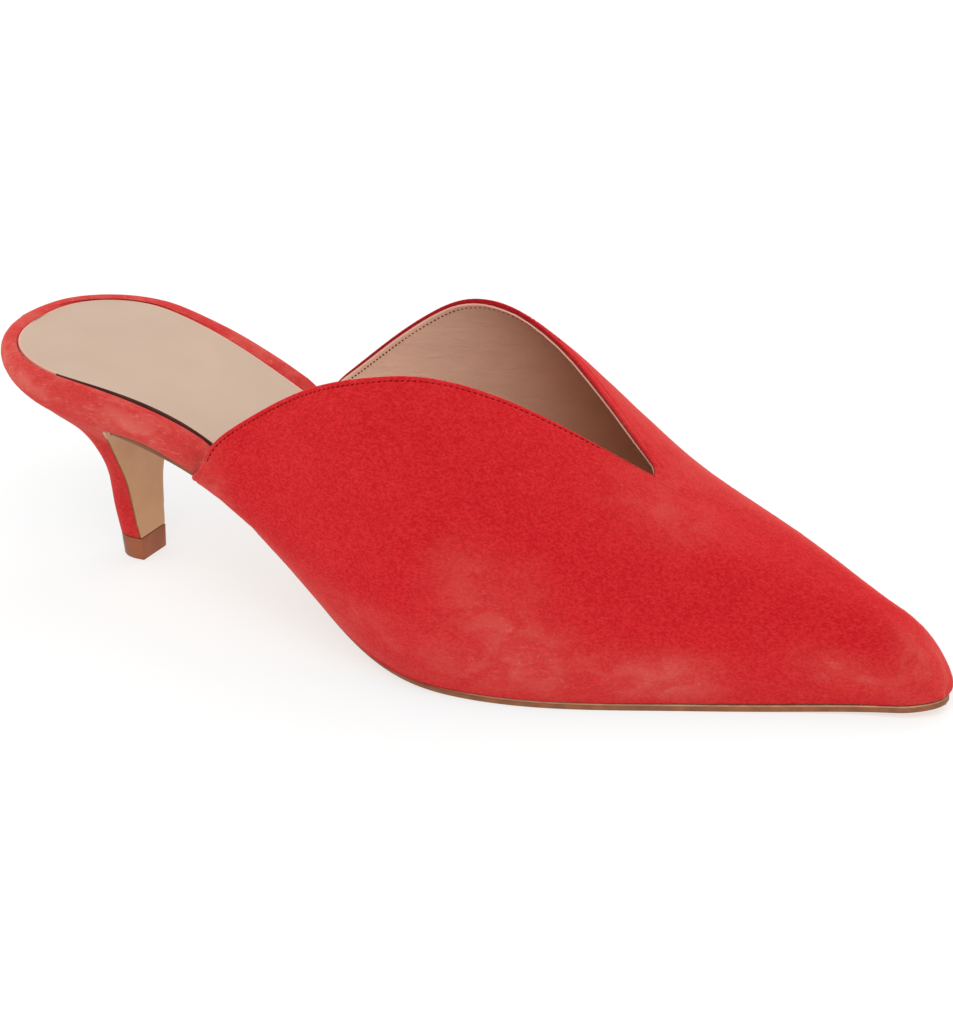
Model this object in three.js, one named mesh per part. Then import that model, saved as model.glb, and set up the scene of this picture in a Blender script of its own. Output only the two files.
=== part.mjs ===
// Kitten heel mule: one right shoe with a pointed toe, a V-cut vamp and an open back.
// Millimetres. +X runs from heel to toe, +Y to the big toe side, +Z up, with the floor at Z = 0.
// A share "at" runs along the sole: 0 at the back of the seat, 1 at the toe tip.
// The origin is on the floor, in the middle of the top piece under the heel.
import * as THREE from "three";
import { mergeVertices } from "three/addons/utils/BufferGeometryUtils.js";

// Driving sizes of the last
const LENGTH = 258;
const BALL_WIDTH = 76;
const SEAT_HEIGHT = 51.2;
const INSTEP_RISE = 75;
const SEAT_RADIUS = 28.8;
const TOE_RADIUS = 9;
const TOE_RISE_RADIUS = 14;
const TOE_SPRING = 2.3;
const TOE_OVERHANG = 1;

// Sizes of the pieces
const WALL = 1.8;
const OUTSOLE_THICKNESS = 1.8;
const OUTSOLE_BEVEL = 0.35;
const BAND_HEIGHT = 8.3;
const BAND_BULGE = 1.9;
const BAND_TUCK = 2.6;
const BOARD_THICKNESS = 2.6;
const RIM_LEAST_HEIGHT = 0.25;
const SEAT_FADE = 6;
const CUSHION_FADE = 60;
const SOCK_THICKNESS = 1.1;
const SOCK_EDGE_ROUND = 0.3;
const SOCK_SET_BACK = 4.3;
const BOARD_TOE_ROOM = 1.5;
const SOCK_TOE_ROOM = 2;
const SOCK_SEAT_RADIUS = 24;
const BREAST_LENGTH = 41.2;
const BREAST_COVER = 1.2;
const HEEL_INSET = 1.1;
const HEEL_TIP_SHIFT = -1;
const TOP_PIECE_HEIGHT = 6;
const TOP_PIECE_TAPER = 0.35;
const GAP = 0.3;

// Half widths of the feather line, where upper meets sole, as shares of the ball width.
const FEATHER = [
  { at: 0.0, lateral: 0.324, medial: 0.341 },
  { at: 0.1, lateral: 0.336, medial: 0.346 },
  { at: 0.2, lateral: 0.321, medial: 0.326 },
  { at: 0.32, lateral: 0.338, medial: 0.313 },
  { at: 0.44, lateral: 0.454, medial: 0.374 },
  { at: 0.56, lateral: 0.536, medial: 0.447 },
  { at: 0.66, lateral: 0.489, medial: 0.474 },
  { at: 0.76, lateral: 0.357, medial: 0.398 },
  { at: 0.86, lateral: 0.216, medial: 0.264 },
  { at: 0.94, lateral: 0.1225, medial: 0.147 },
  { at: 1.0, lateral: 0.082, medial: 0.099 },
];

// Height of the feather line over its level at the ball, as shares of that height at the seat's back.
const ARCH = [
  { at: 0.0, rise: 1.0 },
  { at: 0.15, rise: 0.887 },
  { at: 0.27, rise: 0.658 },
  { at: 0.38, rise: 0.319 },
  { at: 0.46, rise: 0.09 },
  { at: 0.52, rise: 0.012 },
  { at: 0.58, rise: 0.0 },
  { at: 0.64, rise: 0.0 },
];
const TREAD_START = 0.58;
const SPRING_START = 0.8;

// Crest of the last over the feather line, as shares of the instep rise.
const CREST = [
  { at: 0.27, rise: 0.522 },
  { at: 0.4, rise: 0.947 },
  { at: 0.52, rise: 1.003 },
  { at: 0.62, rise: 0.805 },
  { at: 0.7, rise: 0.623 },
  { at: 0.78, rise: 0.488 },
  { at: 0.86, rise: 0.374 },
  { at: 0.94, rise: 0.269 },
  { at: 1.0, rise: 0.195 },
];

// Side offset of the crest towards the big toe, as a share of the ball width, and the section's
// fullness: a low value makes a square section, a high one a peaked section.
const SECTION = [
  { at: 0.27, ridge: 0.008, fullness: 1.462 },
  { at: 0.5, ridge: 0.034, fullness: 0.661 },
  { at: 0.7, ridge: 0.007, fullness: 0.898 },
  { at: 0.85, ridge: 0.018, fullness: 0.721 },
  { at: 1.0, ridge: -0.021, fullness: 0.851 },
];

// How far the sides swell out over the feather line, as shares of the ball width.
const SWELL = [
  { at: 0.27, out: 0.128 },
  { at: 0.4, out: 0.101 },
  { at: 0.55, out: 0.07 },
  { at: 0.75, out: 0.033 },
  { at: 1.0, out: 0.017 },
];
const SWELL_HEIGHT = 0.32;

// Height of the section, as a share, over which the wall turns level towards the feather line.
const LEVEL_EDGE = 0.25;

// Topline of the V cut: where it crosses each line round the section, 0 at the feather line of
// that side and 0.5 at the crest, as shares of the length.
const TOPLINE = [
  { round: 0.00, lateral: 0.262, medial: 0.272 },
  { round: 0.05, lateral: 0.265, medial: 0.275 },
  { round: 0.12, lateral: 0.286, medial: 0.293 },
  { round: 0.18, lateral: 0.309, medial: 0.340 },
  { round: 0.24, lateral: 0.392, medial: 0.404 },
  { round: 0.30, lateral: 0.465, medial: 0.456 },
  { round: 0.37, lateral: 0.524, medial: 0.534 },
  { round: 0.44, lateral: 0.605, medial: 0.643 },
  { round: 0.50, lateral: 0.711, medial: 0.711 },
];

// Side of the soft seat from its underside up: how far it bulges out, as a share of the bulge, and
// how far it tucks in, as a share of the tuck.
const BAND_PROFILE = [
  { up: 0.0, bulge: 0.0, tuck: 1.0 },
  { up: 0.1, bulge: 0.0, tuck: 0.35 },
  { up: 0.28, bulge: 0.55, tuck: 0.0 },
  { up: 0.5, bulge: 1.0, tuck: 0.0 },
  { up: 0.75, bulge: 0.75, tuck: 0.0 },
  { up: 0.93, bulge: 0.0, tuck: 0.0 },
  { up: 1.0, bulge: -0.8, tuck: 0.0 },
];

// Edge of the outsole inside the feather line, as shares of the ball width.
const SOLE_INSET = [
  { at: 0.16, inset: 0.016 },
  { at: 0.27, inset: 0.028 },
  { at: 0.4, inset: 0.019 },
  { at: 0.55, inset: 0.011 },
  { at: 0.75, inset: 0.005 },
  { at: 1.0, inset: 0.001 },
];

// Edge of the sock inside the feather line, as shares of the ball width.
const SOCK_INSET = [
  { at: 0.0, lateral: 0.041, medial: 0.036 },
  { at: 0.116, lateral: 0.035, medial: 0.037 },
  { at: 0.252, lateral: 0.069, medial: 0.054 },
  { at: 0.426, lateral: 0.041, medial: 0.041 },
  { at: 1.0, lateral: 0.041, medial: 0.041 },
];

// Heel block: back and breast as shares of the breast length, half width as a share of the half
// width at the seat, at shares of the block's height.
const HEEL = [
  { up: 0.0, back: 0.626, breast: 0.842, half: 0.22 },
  { up: 0.19, back: 0.602, breast: 0.83, half: 0.27 },
  { up: 0.4, back: 0.598, breast: 0.826, half: 0.338 },
  { up: 0.61, back: 0.561, breast: 0.834, half: 0.505 },
  { up: 0.78, back: 0.37, breast: 0.85, half: 0.664 },
  { up: 0.9, back: 0.12, breast: 0.925, half: 0.874 },
  { up: 1.0, back: 0.02, breast: 1.0, half: 1.0 },
];
const HEEL_ROUND = 0.75;

// Powers that round off the ends of a plan outline: an ellipse, and the fuller back of the sock.
const ELLIPSE = 0.5;
const SOCK_FULLNESS = 0.393;

// Mesh steps
const UPPER_STEPS = 28;
const TOE_STEPS = 5;
const ROUND_STEPS = 36;
const CAP_STEPS = 9;
const SIDE_STEPS = 31;
const HEEL_STEPS = 14;
const NORMAL_STEP = 0.004;

const SOLE_STACK = OUTSOLE_THICKNESS + GAP;
const CAVITY_END = LENGTH - TOE_RADIUS;

// Natural cubic curve through one named column of a table.
function curveThrough(rows, along, column) {
  const x = rows.map((row) => row[along]);
  const y = rows.map((row) => row[column]);
  const n = x.length;
  const bend = new Array(n).fill(0);
  const carry = new Array(n).fill(0);
  for (let i = 1; i < n - 1; i++) {
    const share = (x[i] - x[i - 1]) / (x[i + 1] - x[i - 1]);
    const pivot = share * bend[i - 1] + 2;
    const slopeStep = (y[i + 1] - y[i]) / (x[i + 1] - x[i]) - (y[i] - y[i - 1]) / (x[i] - x[i - 1]);
    bend[i] = (share - 1) / pivot;
    carry[i] = ((6 * slopeStep) / (x[i + 1] - x[i - 1]) - share * carry[i - 1]) / pivot;
  }
  for (let i = n - 2; i > 0; i--) {
    bend[i] = bend[i] * bend[i + 1] + carry[i];
  }
  bend[0] = 0;
  return (at) => {
    const place = THREE.MathUtils.clamp(at, x[0], x[n - 1]);
    let k = 1;
    while (k < n - 1 && place > x[k]) {
      k += 1;
    }
    const span = x[k] - x[k - 1];
    const a = (x[k] - place) / span;
    const b = 1 - a;
    const curved = (a ** 3 - a) * bend[k - 1] + (b ** 3 - b) * bend[k];
    return a * y[k - 1] + b * y[k] + (curved * span * span) / 6;
  };
}

const lateralShare = curveThrough(FEATHER, "at", "lateral");
const medialShare = curveThrough(FEATHER, "at", "medial");
const archShare = curveThrough(ARCH, "at", "rise");
const crestShare = curveThrough(CREST, "at", "rise");
const ridgeShare = curveThrough(SECTION, "at", "ridge");
const swellShare = curveThrough(SWELL, "at", "out");
const fullnessAt = curveThrough(SECTION, "at", "fullness");
const lateralTopline = curveThrough(TOPLINE, "round", "lateral");
const medialTopline = curveThrough(TOPLINE, "round", "medial");
const soleInsetShare = curveThrough(SOLE_INSET, "at", "inset");
const sockLateralInset = curveThrough(SOCK_INSET, "at", "lateral");
const sockMedialInset = curveThrough(SOCK_INSET, "at", "medial");
const heelBack = curveThrough(HEEL, "up", "back");
const heelBreast = curveThrough(HEEL, "up", "breast");
const heelHalf = curveThrough(HEEL, "up", "half");

// Half width of the feather line on one side, -1 lateral or +1 medial, before its ends round off.
function featherHalf(x, side) {
  const at = x / LENGTH;
  return BALL_WIDTH * (side < 0 ? lateralShare(at) : medialShare(at));
}

// Height of the feather line: the top of the sole at the forepart, the footbed's underside behind.
function featherHeight(x) {
  const at = x / LENGTH;
  const arch = at < TREAD_START ? Math.max(archShare(at), 0) : 0;
  const spring = Math.max((at - SPRING_START) / (1 - SPRING_START), 0) ** 2;
  return SOLE_STACK + arch * (SEAT_HEIGHT - SOLE_STACK) + spring * TOE_SPRING;
}

// Elliptic rounding of the toe: 1 along the last, falling to 0 at the tip.
function toeCap(x, radius) {
  const along = THREE.MathUtils.clamp((x - LENGTH + radius) / radius, 0, 1);
  return Math.sqrt(1 - along * along);
}

// Outer surface of the upper. round runs from 0 at the lateral feather line to 1 at the medial one.
function lastPoint(at, round) {
  const x = at * LENGTH;
  const cap = toeCap(x, TOE_RADIUS);
  const turn = Math.PI * round;
  const fullness = fullnessAt(at);
  const lift = Math.max(Math.sin(turn), 0) ** fullness;
  const side = Math.cos(turn) > 0 ? -1 : 1;
  const reach = Math.abs(Math.cos(turn)) ** fullness;
  const ridge = ridgeShare(at) * BALL_WIDTH * cap;
  const half = featherHalf(x, side) * cap - side * ridge;
  const bump = (lift / SWELL_HEIGHT) * Math.exp(1 - lift / SWELL_HEIGHT);
  const swell = swellShare(at) * BALL_WIDTH * cap * bump;
  const overhang = TOE_OVERHANG * bump * 4 * cap * (1 - cap);
  const y = ridge + side * (reach * half + swell);
  const crest = crestShare(at) * INSTEP_RISE * toeCap(x, TOE_RISE_RADIUS);
  return new THREE.Vector3(x + overhang, y, featherHeight(x) + crest * lift);
}

// Point of the upper's lining, one wall inside the outer surface. Along the feather line the wall
// is measured level, so that the lower edge stays in one plane with the sole.
function liningPoint(at, round) {
  const near = THREE.MathUtils.clamp(round, NORMAL_STEP, 1 - NORMAL_STEP);
  const along = lastPoint(at + NORMAL_STEP, near).sub(lastPoint(at - NORMAL_STEP, near));
  const across = lastPoint(at, near + NORMAL_STEP).sub(lastPoint(at, near - NORMAL_STEP));
  const normal = along.cross(across).normalize();
  const height = Math.sin(Math.PI * THREE.MathUtils.clamp(round, 0, 1));
  normal.z *= THREE.MathUtils.smoothstep(height, 0, LEVEL_EDGE);
  normal.normalize();
  return lastPoint(at, round).addScaledVector(normal, -WALL);
}

function toplineAt(round) {
  return round <= 0.5 ? lateralTopline(round) : medialTopline(1 - round);
}

// Collects triangles, leaving out those that close up at a pole.
class Skin {
  constructor() {
    this.positions = [];
  }

  triangle(a, b, c) {
    const closed = a.distanceTo(b) < 1e-4 || b.distanceTo(c) < 1e-4 || c.distanceTo(a) < 1e-4;
    if (!closed) {
      this.positions.push(...a.toArray(), ...b.toArray(), ...c.toArray());
    }
  }

  quad(a, b, c, d) {
    this.triangle(a, b, c);
    this.triangle(a, c, d);
  }

  geometry() {
    const made = new THREE.BufferGeometry();
    made.setAttribute("position", new THREE.Float32BufferAttribute(this.positions, 3));
    const merged = mergeVertices(made, 1e-3);
    merged.computeVertexNormals();
    return merged;
  }
}

// Closed solid through rings of points, lowest first. A ring holds its lateral points from heel to
// toe and its medial points in the same order.
function stackedSolid(rings) {
  const skin = new Skin();
  const bottom = rings[0];
  const top = rings[rings.length - 1];
  for (let k = 0; k < top.lateral.length - 1; k++) {
    skin.quad(bottom.medial[k], bottom.medial[k + 1], bottom.lateral[k + 1], bottom.lateral[k]);
    skin.quad(top.lateral[k], top.lateral[k + 1], top.medial[k + 1], top.medial[k]);
  }
  const loops = rings.map((ring) => [...ring.lateral, ...[...ring.medial].reverse()]);
  for (let level = 0; level < loops.length - 1; level++) {
    const low = loops[level];
    const high = loops[level + 1];
    for (let k = 0; k < low.length; k++) {
      const next = (k + 1) % low.length;
      skin.quad(low[k], low[next], high[next], high[k]);
    }
  }
  return skin.geometry();
}

// Plan outline between two places along the sole, with rounded ends where a radius is given.
// inset(x, side) takes the outline inside the feather line.
function planOutline({ start, end, startRadius, endRadius, roundness, inset }) {
  const stations = [];
  for (let k = 0; k < CAP_STEPS && startRadius > 0; k++) {
    stations.push(start + startRadius * (1 - Math.cos((Math.PI / 2) * (k / CAP_STEPS))));
  }
  const from = start + startRadius;
  const to = end - endRadius;
  for (let k = 0; k <= SIDE_STEPS; k++) {
    stations.push(from + ((to - from) * k) / SIDE_STEPS);
  }
  for (let k = 1; k <= TOE_STEPS; k++) {
    stations.push(to + endRadius * Math.sin((Math.PI / 2) * (k / TOE_STEPS)));
  }
  const half = (x, side) => {
    const back = startRadius > 0 ? THREE.MathUtils.clamp(1 - (x - start) / startRadius, 0, 1) : 0;
    const front = THREE.MathUtils.clamp((x - to) / endRadius, 0, 1);
    const round = (1 - back * back) ** roundness * Math.sqrt(1 - front * front);
    return side * (featherHalf(x, side) - inset(x, side)) * round;
  };
  return {
    lateral: stations.map((x) => new THREE.Vector2(x, half(x, -1))),
    medial: stations.map((x) => new THREE.Vector2(x, half(x, 1))),
  };
}

// Ring of 3-D points round a plan outline, moved out by outset(x) and lifted to height(x).
function ringRound(outline, outset, height) {
  const loop = [...outline.lateral, ...[...outline.medial].reverse()];
  const distinct = loop.filter((p, k) => p.distanceTo(loop[(k + 1) % loop.length]) > 1e-6);
  const move = (p) => {
    const k = distinct.findIndex((q) => q.distanceTo(p) <= 1e-6);
    const next = distinct[(k + 1) % distinct.length];
    const last = distinct[(k + distinct.length - 1) % distinct.length];
    const along = new THREE.Vector2().subVectors(next, last).normalize();
    const far = outset(p.x);
    const x = p.x + along.y * far;
    return new THREE.Vector3(x, p.y - along.x * far, height(x));
  };
  return { lateral: outline.lateral.map(move), medial: outline.medial.map(move) };
}

function upperGeometry() {
  const stations = UPPER_STEPS + TOE_STEPS;
  const share = (i, round) => {
    const capStart = CAVITY_END / LENGTH;
    if (i <= UPPER_STEPS) {
      return THREE.MathUtils.lerp(toplineAt(round), capStart, i / UPPER_STEPS);
    }
    return THREE.MathUtils.lerp(capStart, 1, Math.sin((Math.PI / 2) * ((i - UPPER_STEPS) / TOE_STEPS)));
  };
  const outer = [];
  const inner = [];
  for (let i = 0; i <= stations; i++) {
    const rounds = Array.from({ length: ROUND_STEPS + 1 }, (_, j) => j / ROUND_STEPS);
    outer.push(rounds.map((round) => lastPoint(share(i, round), round)));
    if (i <= UPPER_STEPS) {
      inner.push(rounds.map((round) => liningPoint(share(i, round), round)));
    }
  }
  const skin = new Skin();
  const end = ROUND_STEPS;
  for (let i = 0; i < stations; i++) {
    for (let j = 0; j < end; j++) {
      skin.quad(outer[i][j], outer[i + 1][j], outer[i + 1][j + 1], outer[i][j + 1]);
    }
  }
  for (let i = 0; i < UPPER_STEPS; i++) {
    for (let j = 0; j < end; j++) {
      skin.quad(inner[i][j], inner[i][j + 1], inner[i + 1][j + 1], inner[i + 1][j]);
    }
    skin.quad(outer[i + 1][0], outer[i][0], inner[i][0], inner[i + 1][0]);
    skin.quad(outer[i][end], outer[i + 1][end], inner[i + 1][end], inner[i][end]);
  }
  // Folded edge along the topline
  for (let j = 0; j < end; j++) {
    skin.quad(outer[0][j], outer[0][j + 1], inner[0][j + 1], inner[0][j]);
  }
  // Stiffened toe: a wall across the cavity's end and the underside in front of it
  const last = inner[UPPER_STEPS];
  const middle = last[0].clone().add(last[end]).add(last[end / 2]).divideScalar(3);
  for (let j = 0; j < end; j++) {
    skin.triangle(last[j], last[j + 1], middle);
  }
  skin.triangle(last[end], last[0], middle);
  skin.quad(outer[UPPER_STEPS][end], outer[UPPER_STEPS][0], last[0], last[end]);
  for (let i = UPPER_STEPS; i < stations; i++) {
    skin.quad(outer[i + 1][0], outer[i][0], outer[i][end], outer[i + 1][end]);
  }
  return skin.geometry();
}

function outsoleGeometry() {
  const inset = (x) => BALL_WIDTH * soleInsetShare(x / LENGTH);
  const outline = planOutline({
    start: BREAST_LENGTH + GAP,
    end: LENGTH,
    startRadius: 0,
    endRadius: TOE_RADIUS,
    roundness: ELLIPSE,
    inset,
  });
  const level = (drop) => (x) => featherHeight(x) - GAP - drop;
  return stackedSolid([
    ringRound(outline, () => -OUTSOLE_BEVEL, level(OUTSOLE_THICKNESS)),
    ringRound(outline, () => 0, level(OUTSOLE_THICKNESS - OUTSOLE_BEVEL)),
    ringRound(outline, () => 0, level(0)),
  ]);
}

// Share of the seat's thick soft edge: 1 behind the flaps, 0 inside the upper.
function openSeat(x) {
  const flapBase = toplineAt(0) * LENGTH;
  return 1 - THREE.MathUtils.smoothstep(x, flapBase - SEAT_FADE, flapBase);
}

// Thickness under the sock: the seat's cushion tapers to the bare board inside the upper.
function footbedFloor(x) {
  const flapBase = toplineAt(0) * LENGTH;
  const cushion = 1 - THREE.MathUtils.smoothstep(x, flapBase, flapBase + CUSHION_FADE);
  const seat = BAND_HEIGHT - SOCK_THICKNESS - GAP;
  return featherHeight(x) + THREE.MathUtils.lerp(BOARD_THICKNESS, seat, cushion);
}

// Top of the rim round the sock: level with the sock on the open seat, low inside the upper.
function footbedTop(x) {
  return footbedFloor(x) + THREE.MathUtils.lerp(RIM_LEAST_HEIGHT, SOCK_THICKNESS + GAP, openSeat(x));
}

function sockOutline(set) {
  const insetShare = (x, side) => (side < 0 ? sockLateralInset(x / LENGTH) : sockMedialInset(x / LENGTH));
  return planOutline({
    start: SOCK_SET_BACK - set,
    end: CAVITY_END - BOARD_TOE_ROOM - SOCK_TOE_ROOM + set,
    startRadius: SOCK_SEAT_RADIUS,
    endRadius: TOE_RADIUS,
    roundness: SOCK_FULLNESS,
    inset: (x, side) => BALL_WIDTH * insetShare(x, side) - set,
  });
}

function footbedGeometry() {
  const inside = WALL + GAP;
  const outline = planOutline({
    start: 0,
    end: CAVITY_END - BOARD_TOE_ROOM,
    startRadius: SEAT_RADIUS,
    endRadius: TOE_RADIUS,
    roundness: ELLIPSE,
    inset: (x) => inside * (1 - openSeat(x)),
  });
  const rings = BAND_PROFILE.map(({ up, bulge, tuck }) =>
    ringRound(
      outline,
      (x) => (bulge * BAND_BULGE - tuck * BAND_TUCK) * openSeat(x),
      (x) => THREE.MathUtils.lerp(featherHeight(x), footbedTop(x), up),
    ),
  );
  const recess = sockOutline(GAP);
  rings.push(ringRound(recess, () => 0, footbedTop));
  rings.push(ringRound(recess, () => 0, footbedFloor));
  return stackedSolid(rings);
}

function sockGeometry() {
  const outline = sockOutline(0);
  const level = (up) => (x) => footbedFloor(x) + GAP + up;
  return stackedSolid([
    ringRound(outline, () => 0, level(0)),
    ringRound(outline, () => 0, level(SOCK_THICKNESS - SOCK_EDGE_ROUND)),
    ringRound(outline, () => -SOCK_EDGE_ROUND, level(SOCK_THICKNESS)),
  ]);
}

// Sizes of the heel's horizontal section at a share of the block's height, taken in by the trim.
function heelSection(up, trim) {
  const back = heelBack(up) * BREAST_LENGTH + trim;
  const front = heelBreast(up) * BREAST_LENGTH;
  const seatHalf = (featherHalf(BREAST_LENGTH, -1) + featherHalf(BREAST_LENGTH, 1)) / 2 - HEEL_INSET;
  const half = heelHalf(up) * seatHalf - trim;
  const middle = HEEL_TIP_SHIFT * (1 - up);
  return { back, front, half, middle };
}

// Ring of the heel: straight sides from the flat breast, round at the back.
function heelRing(section, front, height) {
  const { back, half, middle } = section;
  const lateral = [];
  const medial = [];
  const place = (share, side) => {
    const x = THREE.MathUtils.lerp(back, front, share);
    const inward = 1 - Math.min(share / HEEL_ROUND, 1);
    const y = middle + side * half * Math.sqrt(1 - inward * inward);
    return new THREE.Vector3(x, y, height(x));
  };
  const shares = [];
  for (let k = 0; k < CAP_STEPS; k++) {
    shares.push(HEEL_ROUND * (1 - Math.cos((Math.PI / 2) * (k / CAP_STEPS))));
  }
  shares.push(HEEL_ROUND, 1);
  for (const share of shares) {
    lateral.push(place(share, -1));
    medial.push(place(share, 1));
  }
  return { lateral, medial };
}

function heelHeight(up) {
  const base = TOP_PIECE_HEIGHT + GAP;
  return (x) => THREE.MathUtils.lerp(base, featherHeight(x) - GAP, up);
}

function heelGeometry() {
  const rings = [];
  for (let k = 0; k <= HEEL_STEPS; k++) {
    const up = Math.sin((Math.PI / 2) * (k / HEEL_STEPS));
    const section = heelSection(up, 0);
    rings.push(heelRing(section, section.front - BREAST_COVER - GAP, heelHeight(up)));
  }
  return stackedSolid(rings);
}

// Leather flap over the breast: a curved board as wide as the heel's front.
function breastCoverGeometry() {
  const rings = [];
  for (let k = 0; k <= HEEL_STEPS; k++) {
    const up = Math.sin((Math.PI / 2) * (k / HEEL_STEPS));
    const { front, half, middle } = heelSection(up, 0);
    const place = (x, y) => new THREE.Vector3(x, y, heelHeight(up)(x));
    const side = (y) => [place(front - BREAST_COVER, y), place(front, y)];
    rings.push({ lateral: side(middle - half), medial: side(middle + half) });
  }
  return stackedSolid(rings);
}

function topPieceGeometry() {
  const upper = heelSection(0, 0);
  const lower = heelSection(0, TOP_PIECE_TAPER);
  return stackedSolid([
    heelRing(lower, lower.front, () => 0),
    heelRing(upper, upper.front, () => TOP_PIECE_HEIGHT),
  ]);
}

const SUEDE = { color: 0xd2282d, roughness: 0.95, metalness: 0 };
const SOCK_LEATHER = { color: 0xd6bca8, roughness: 0.55, metalness: 0 };
const TAN_LEATHER = { color: 0xb28762, roughness: 0.5, metalness: 0 };
const WEAR_PIECE = { color: 0xa5643c, roughness: 0.4, metalness: 0 };

const shoe = new THREE.Group();

function addPiece(name, geometry, finish) {
  const piece = new THREE.Mesh(geometry, new THREE.MeshStandardMaterial(finish));
  piece.name = name;
  shoe.add(piece);
}

addPiece("upper", upperGeometry(), SUEDE);
addPiece("outsole", outsoleGeometry(), TAN_LEATHER);
addPiece("footbed", footbedGeometry(), SUEDE);
addPiece("sock", sockGeometry(), SOCK_LEATHER);
addPiece("heel", heelGeometry(), SUEDE);
addPiece("breast_cover", breastCoverGeometry(), TAN_LEATHER);
addPiece("top_piece", topPieceGeometry(), WEAR_PIECE);

// The origin moves to the middle of the top piece's underside.
const tip = heelSection(0, TOP_PIECE_TAPER);
shoe.position.set(-(tip.back + tip.front) / 2, -tip.middle, 0);

export default shoe;
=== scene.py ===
"""Looks of a red suede kitten heel mule, a right shoe, built round its packed construction model.

Metres. +X runs from the heel to the toe, +Y to the big toe side, +Z up, and the floor is at Z = 0.
A share called at runs along the sole, 0 at the back of the seat and 1 at the tip of the toe.
A share called round runs over the upper, 0 at the outer side's feather line, where upper and sole
meet, 0.5 at the crest and 1 at the inner side's feather line.
"""

import logging
import math
from collections.abc import Callable, Sequence
from dataclasses import dataclass, field
from enum import Enum

import bmesh
import bpy
import numpy as np
from mathutils import Matrix, Vector, noise


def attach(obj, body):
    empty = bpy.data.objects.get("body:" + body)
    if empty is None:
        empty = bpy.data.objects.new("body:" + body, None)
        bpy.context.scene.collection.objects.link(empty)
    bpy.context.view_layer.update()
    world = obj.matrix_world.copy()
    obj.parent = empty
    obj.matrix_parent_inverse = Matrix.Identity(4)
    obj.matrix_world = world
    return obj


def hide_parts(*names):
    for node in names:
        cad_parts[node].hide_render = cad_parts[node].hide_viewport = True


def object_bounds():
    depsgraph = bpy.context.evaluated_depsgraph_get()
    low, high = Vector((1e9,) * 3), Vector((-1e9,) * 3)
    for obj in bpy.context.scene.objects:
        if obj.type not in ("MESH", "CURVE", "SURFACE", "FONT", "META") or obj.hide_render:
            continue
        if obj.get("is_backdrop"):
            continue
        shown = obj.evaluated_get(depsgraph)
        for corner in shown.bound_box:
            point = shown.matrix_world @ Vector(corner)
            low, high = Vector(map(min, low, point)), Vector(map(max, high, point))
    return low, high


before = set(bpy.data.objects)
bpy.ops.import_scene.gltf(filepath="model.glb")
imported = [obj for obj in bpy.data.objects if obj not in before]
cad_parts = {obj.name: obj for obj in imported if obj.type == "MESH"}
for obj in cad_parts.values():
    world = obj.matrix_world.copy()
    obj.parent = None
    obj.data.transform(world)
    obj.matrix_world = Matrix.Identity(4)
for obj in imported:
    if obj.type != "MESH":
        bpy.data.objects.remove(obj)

CAD_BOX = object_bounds()
LOG = logging.getLogger("mule")
MM = 0.001
BODY = "root"

Array = np.ndarray
Triple = tuple[float, float, float]
Colour = Triple
Place = Callable[[Array, Array], Array]
Ring = Callable[[Array], Array]
Wave = tuple[float, float]


class Slot(Enum):
    """Names of the record's material slots; each piece is built with one, though nothing reads it.
    """

    SUEDE = "red_suede"
    SOCK = "sock_leather"
    SOLE = "sole_leather"
    TOP_PIECE = "top_piece_resin"


def seen(red: int, green: int, blue: int) -> Colour:
    """Linear colour of the given screen values, 0 to 255.

    Args:
        red: Red of the screen.
        green: Green of the screen.
        blue: Blue of the screen.

    Returns:
        The colour as shaders want it.
    """
    return tuple(
        share / 12.92 if share <= 0.04045 else ((share + 0.055) / 1.055) ** 2.4
        for share in (red / 255, green / 255, blue / 255)
    )


def smooth(value: Array, low: float, high: float) -> Array:
    """Smooth step from 0 at low to 1 at high."""
    share = np.clip((value - low) / (high - low), 0, 1)
    return share * share * (3 - 2 * share)


def unit(vectors: Array) -> Array:
    """Rows scaled to length 1."""
    return vectors / np.maximum(np.linalg.norm(vectors, axis=1), 1e-12)[:, None]


class Table:
    """Short table with named columns, each read as a natural cubic curve along the first column."""

    def __init__(self, columns: Sequence[str], *rows: Sequence[float]) -> None:
        """Keeps the rows and works out how each column's curve bends.

        Args:
            columns: Names of the columns, the one along which they are read first.
            rows: One row of numbers for each section.
        """
        self.columns = tuple(columns)
        self.values = np.array(rows, float)
        self.bends = {name: self._bends(self.values[:, k]) for k, name in enumerate(columns)}

    def _bends(self, column: Array) -> Array:
        """Second derivatives of the natural cubic curve through one column.

        Args:
            column: The column's numbers, one for each row.

        Returns:
            One number for each row, 0 at the ends.
        """
        along = self.values[:, 0]
        count = len(along)
        terms = np.eye(count)
        right = np.zeros(count)
        for k in range(1, count - 1):
            before = along[k] - along[k - 1]
            after = along[k + 1] - along[k]
            terms[k, k - 1 : k + 2] = (before / 6, (before + after) / 3, after / 6)
            right[k] = (column[k + 1] - column[k]) / after - (column[k] - column[k - 1]) / before
        return np.linalg.solve(terms, right)

    def read(self, name: str, at: Array) -> Array:
        """Values of one column.

        Args:
            name: Name of the column.
            at: Places along the first column, held within its ends.

        Returns:
            One value for each place.
        """
        along = self.values[:, 0]
        column = self.values[:, self.columns.index(name)]
        bends = self.bends[name]
        place = np.clip(np.asarray(at, float), along[0], along[-1])
        k = np.clip(np.searchsorted(along, place), 1, len(along) - 1)
        span = along[k] - along[k - 1]
        low = (along[k] - place) / span
        high = 1 - low
        curved = (low**3 - low) * bends[k - 1] + (high**3 - high) * bends[k]
        return low * column[k - 1] + high * column[k] + curved * span * span / 6


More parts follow.
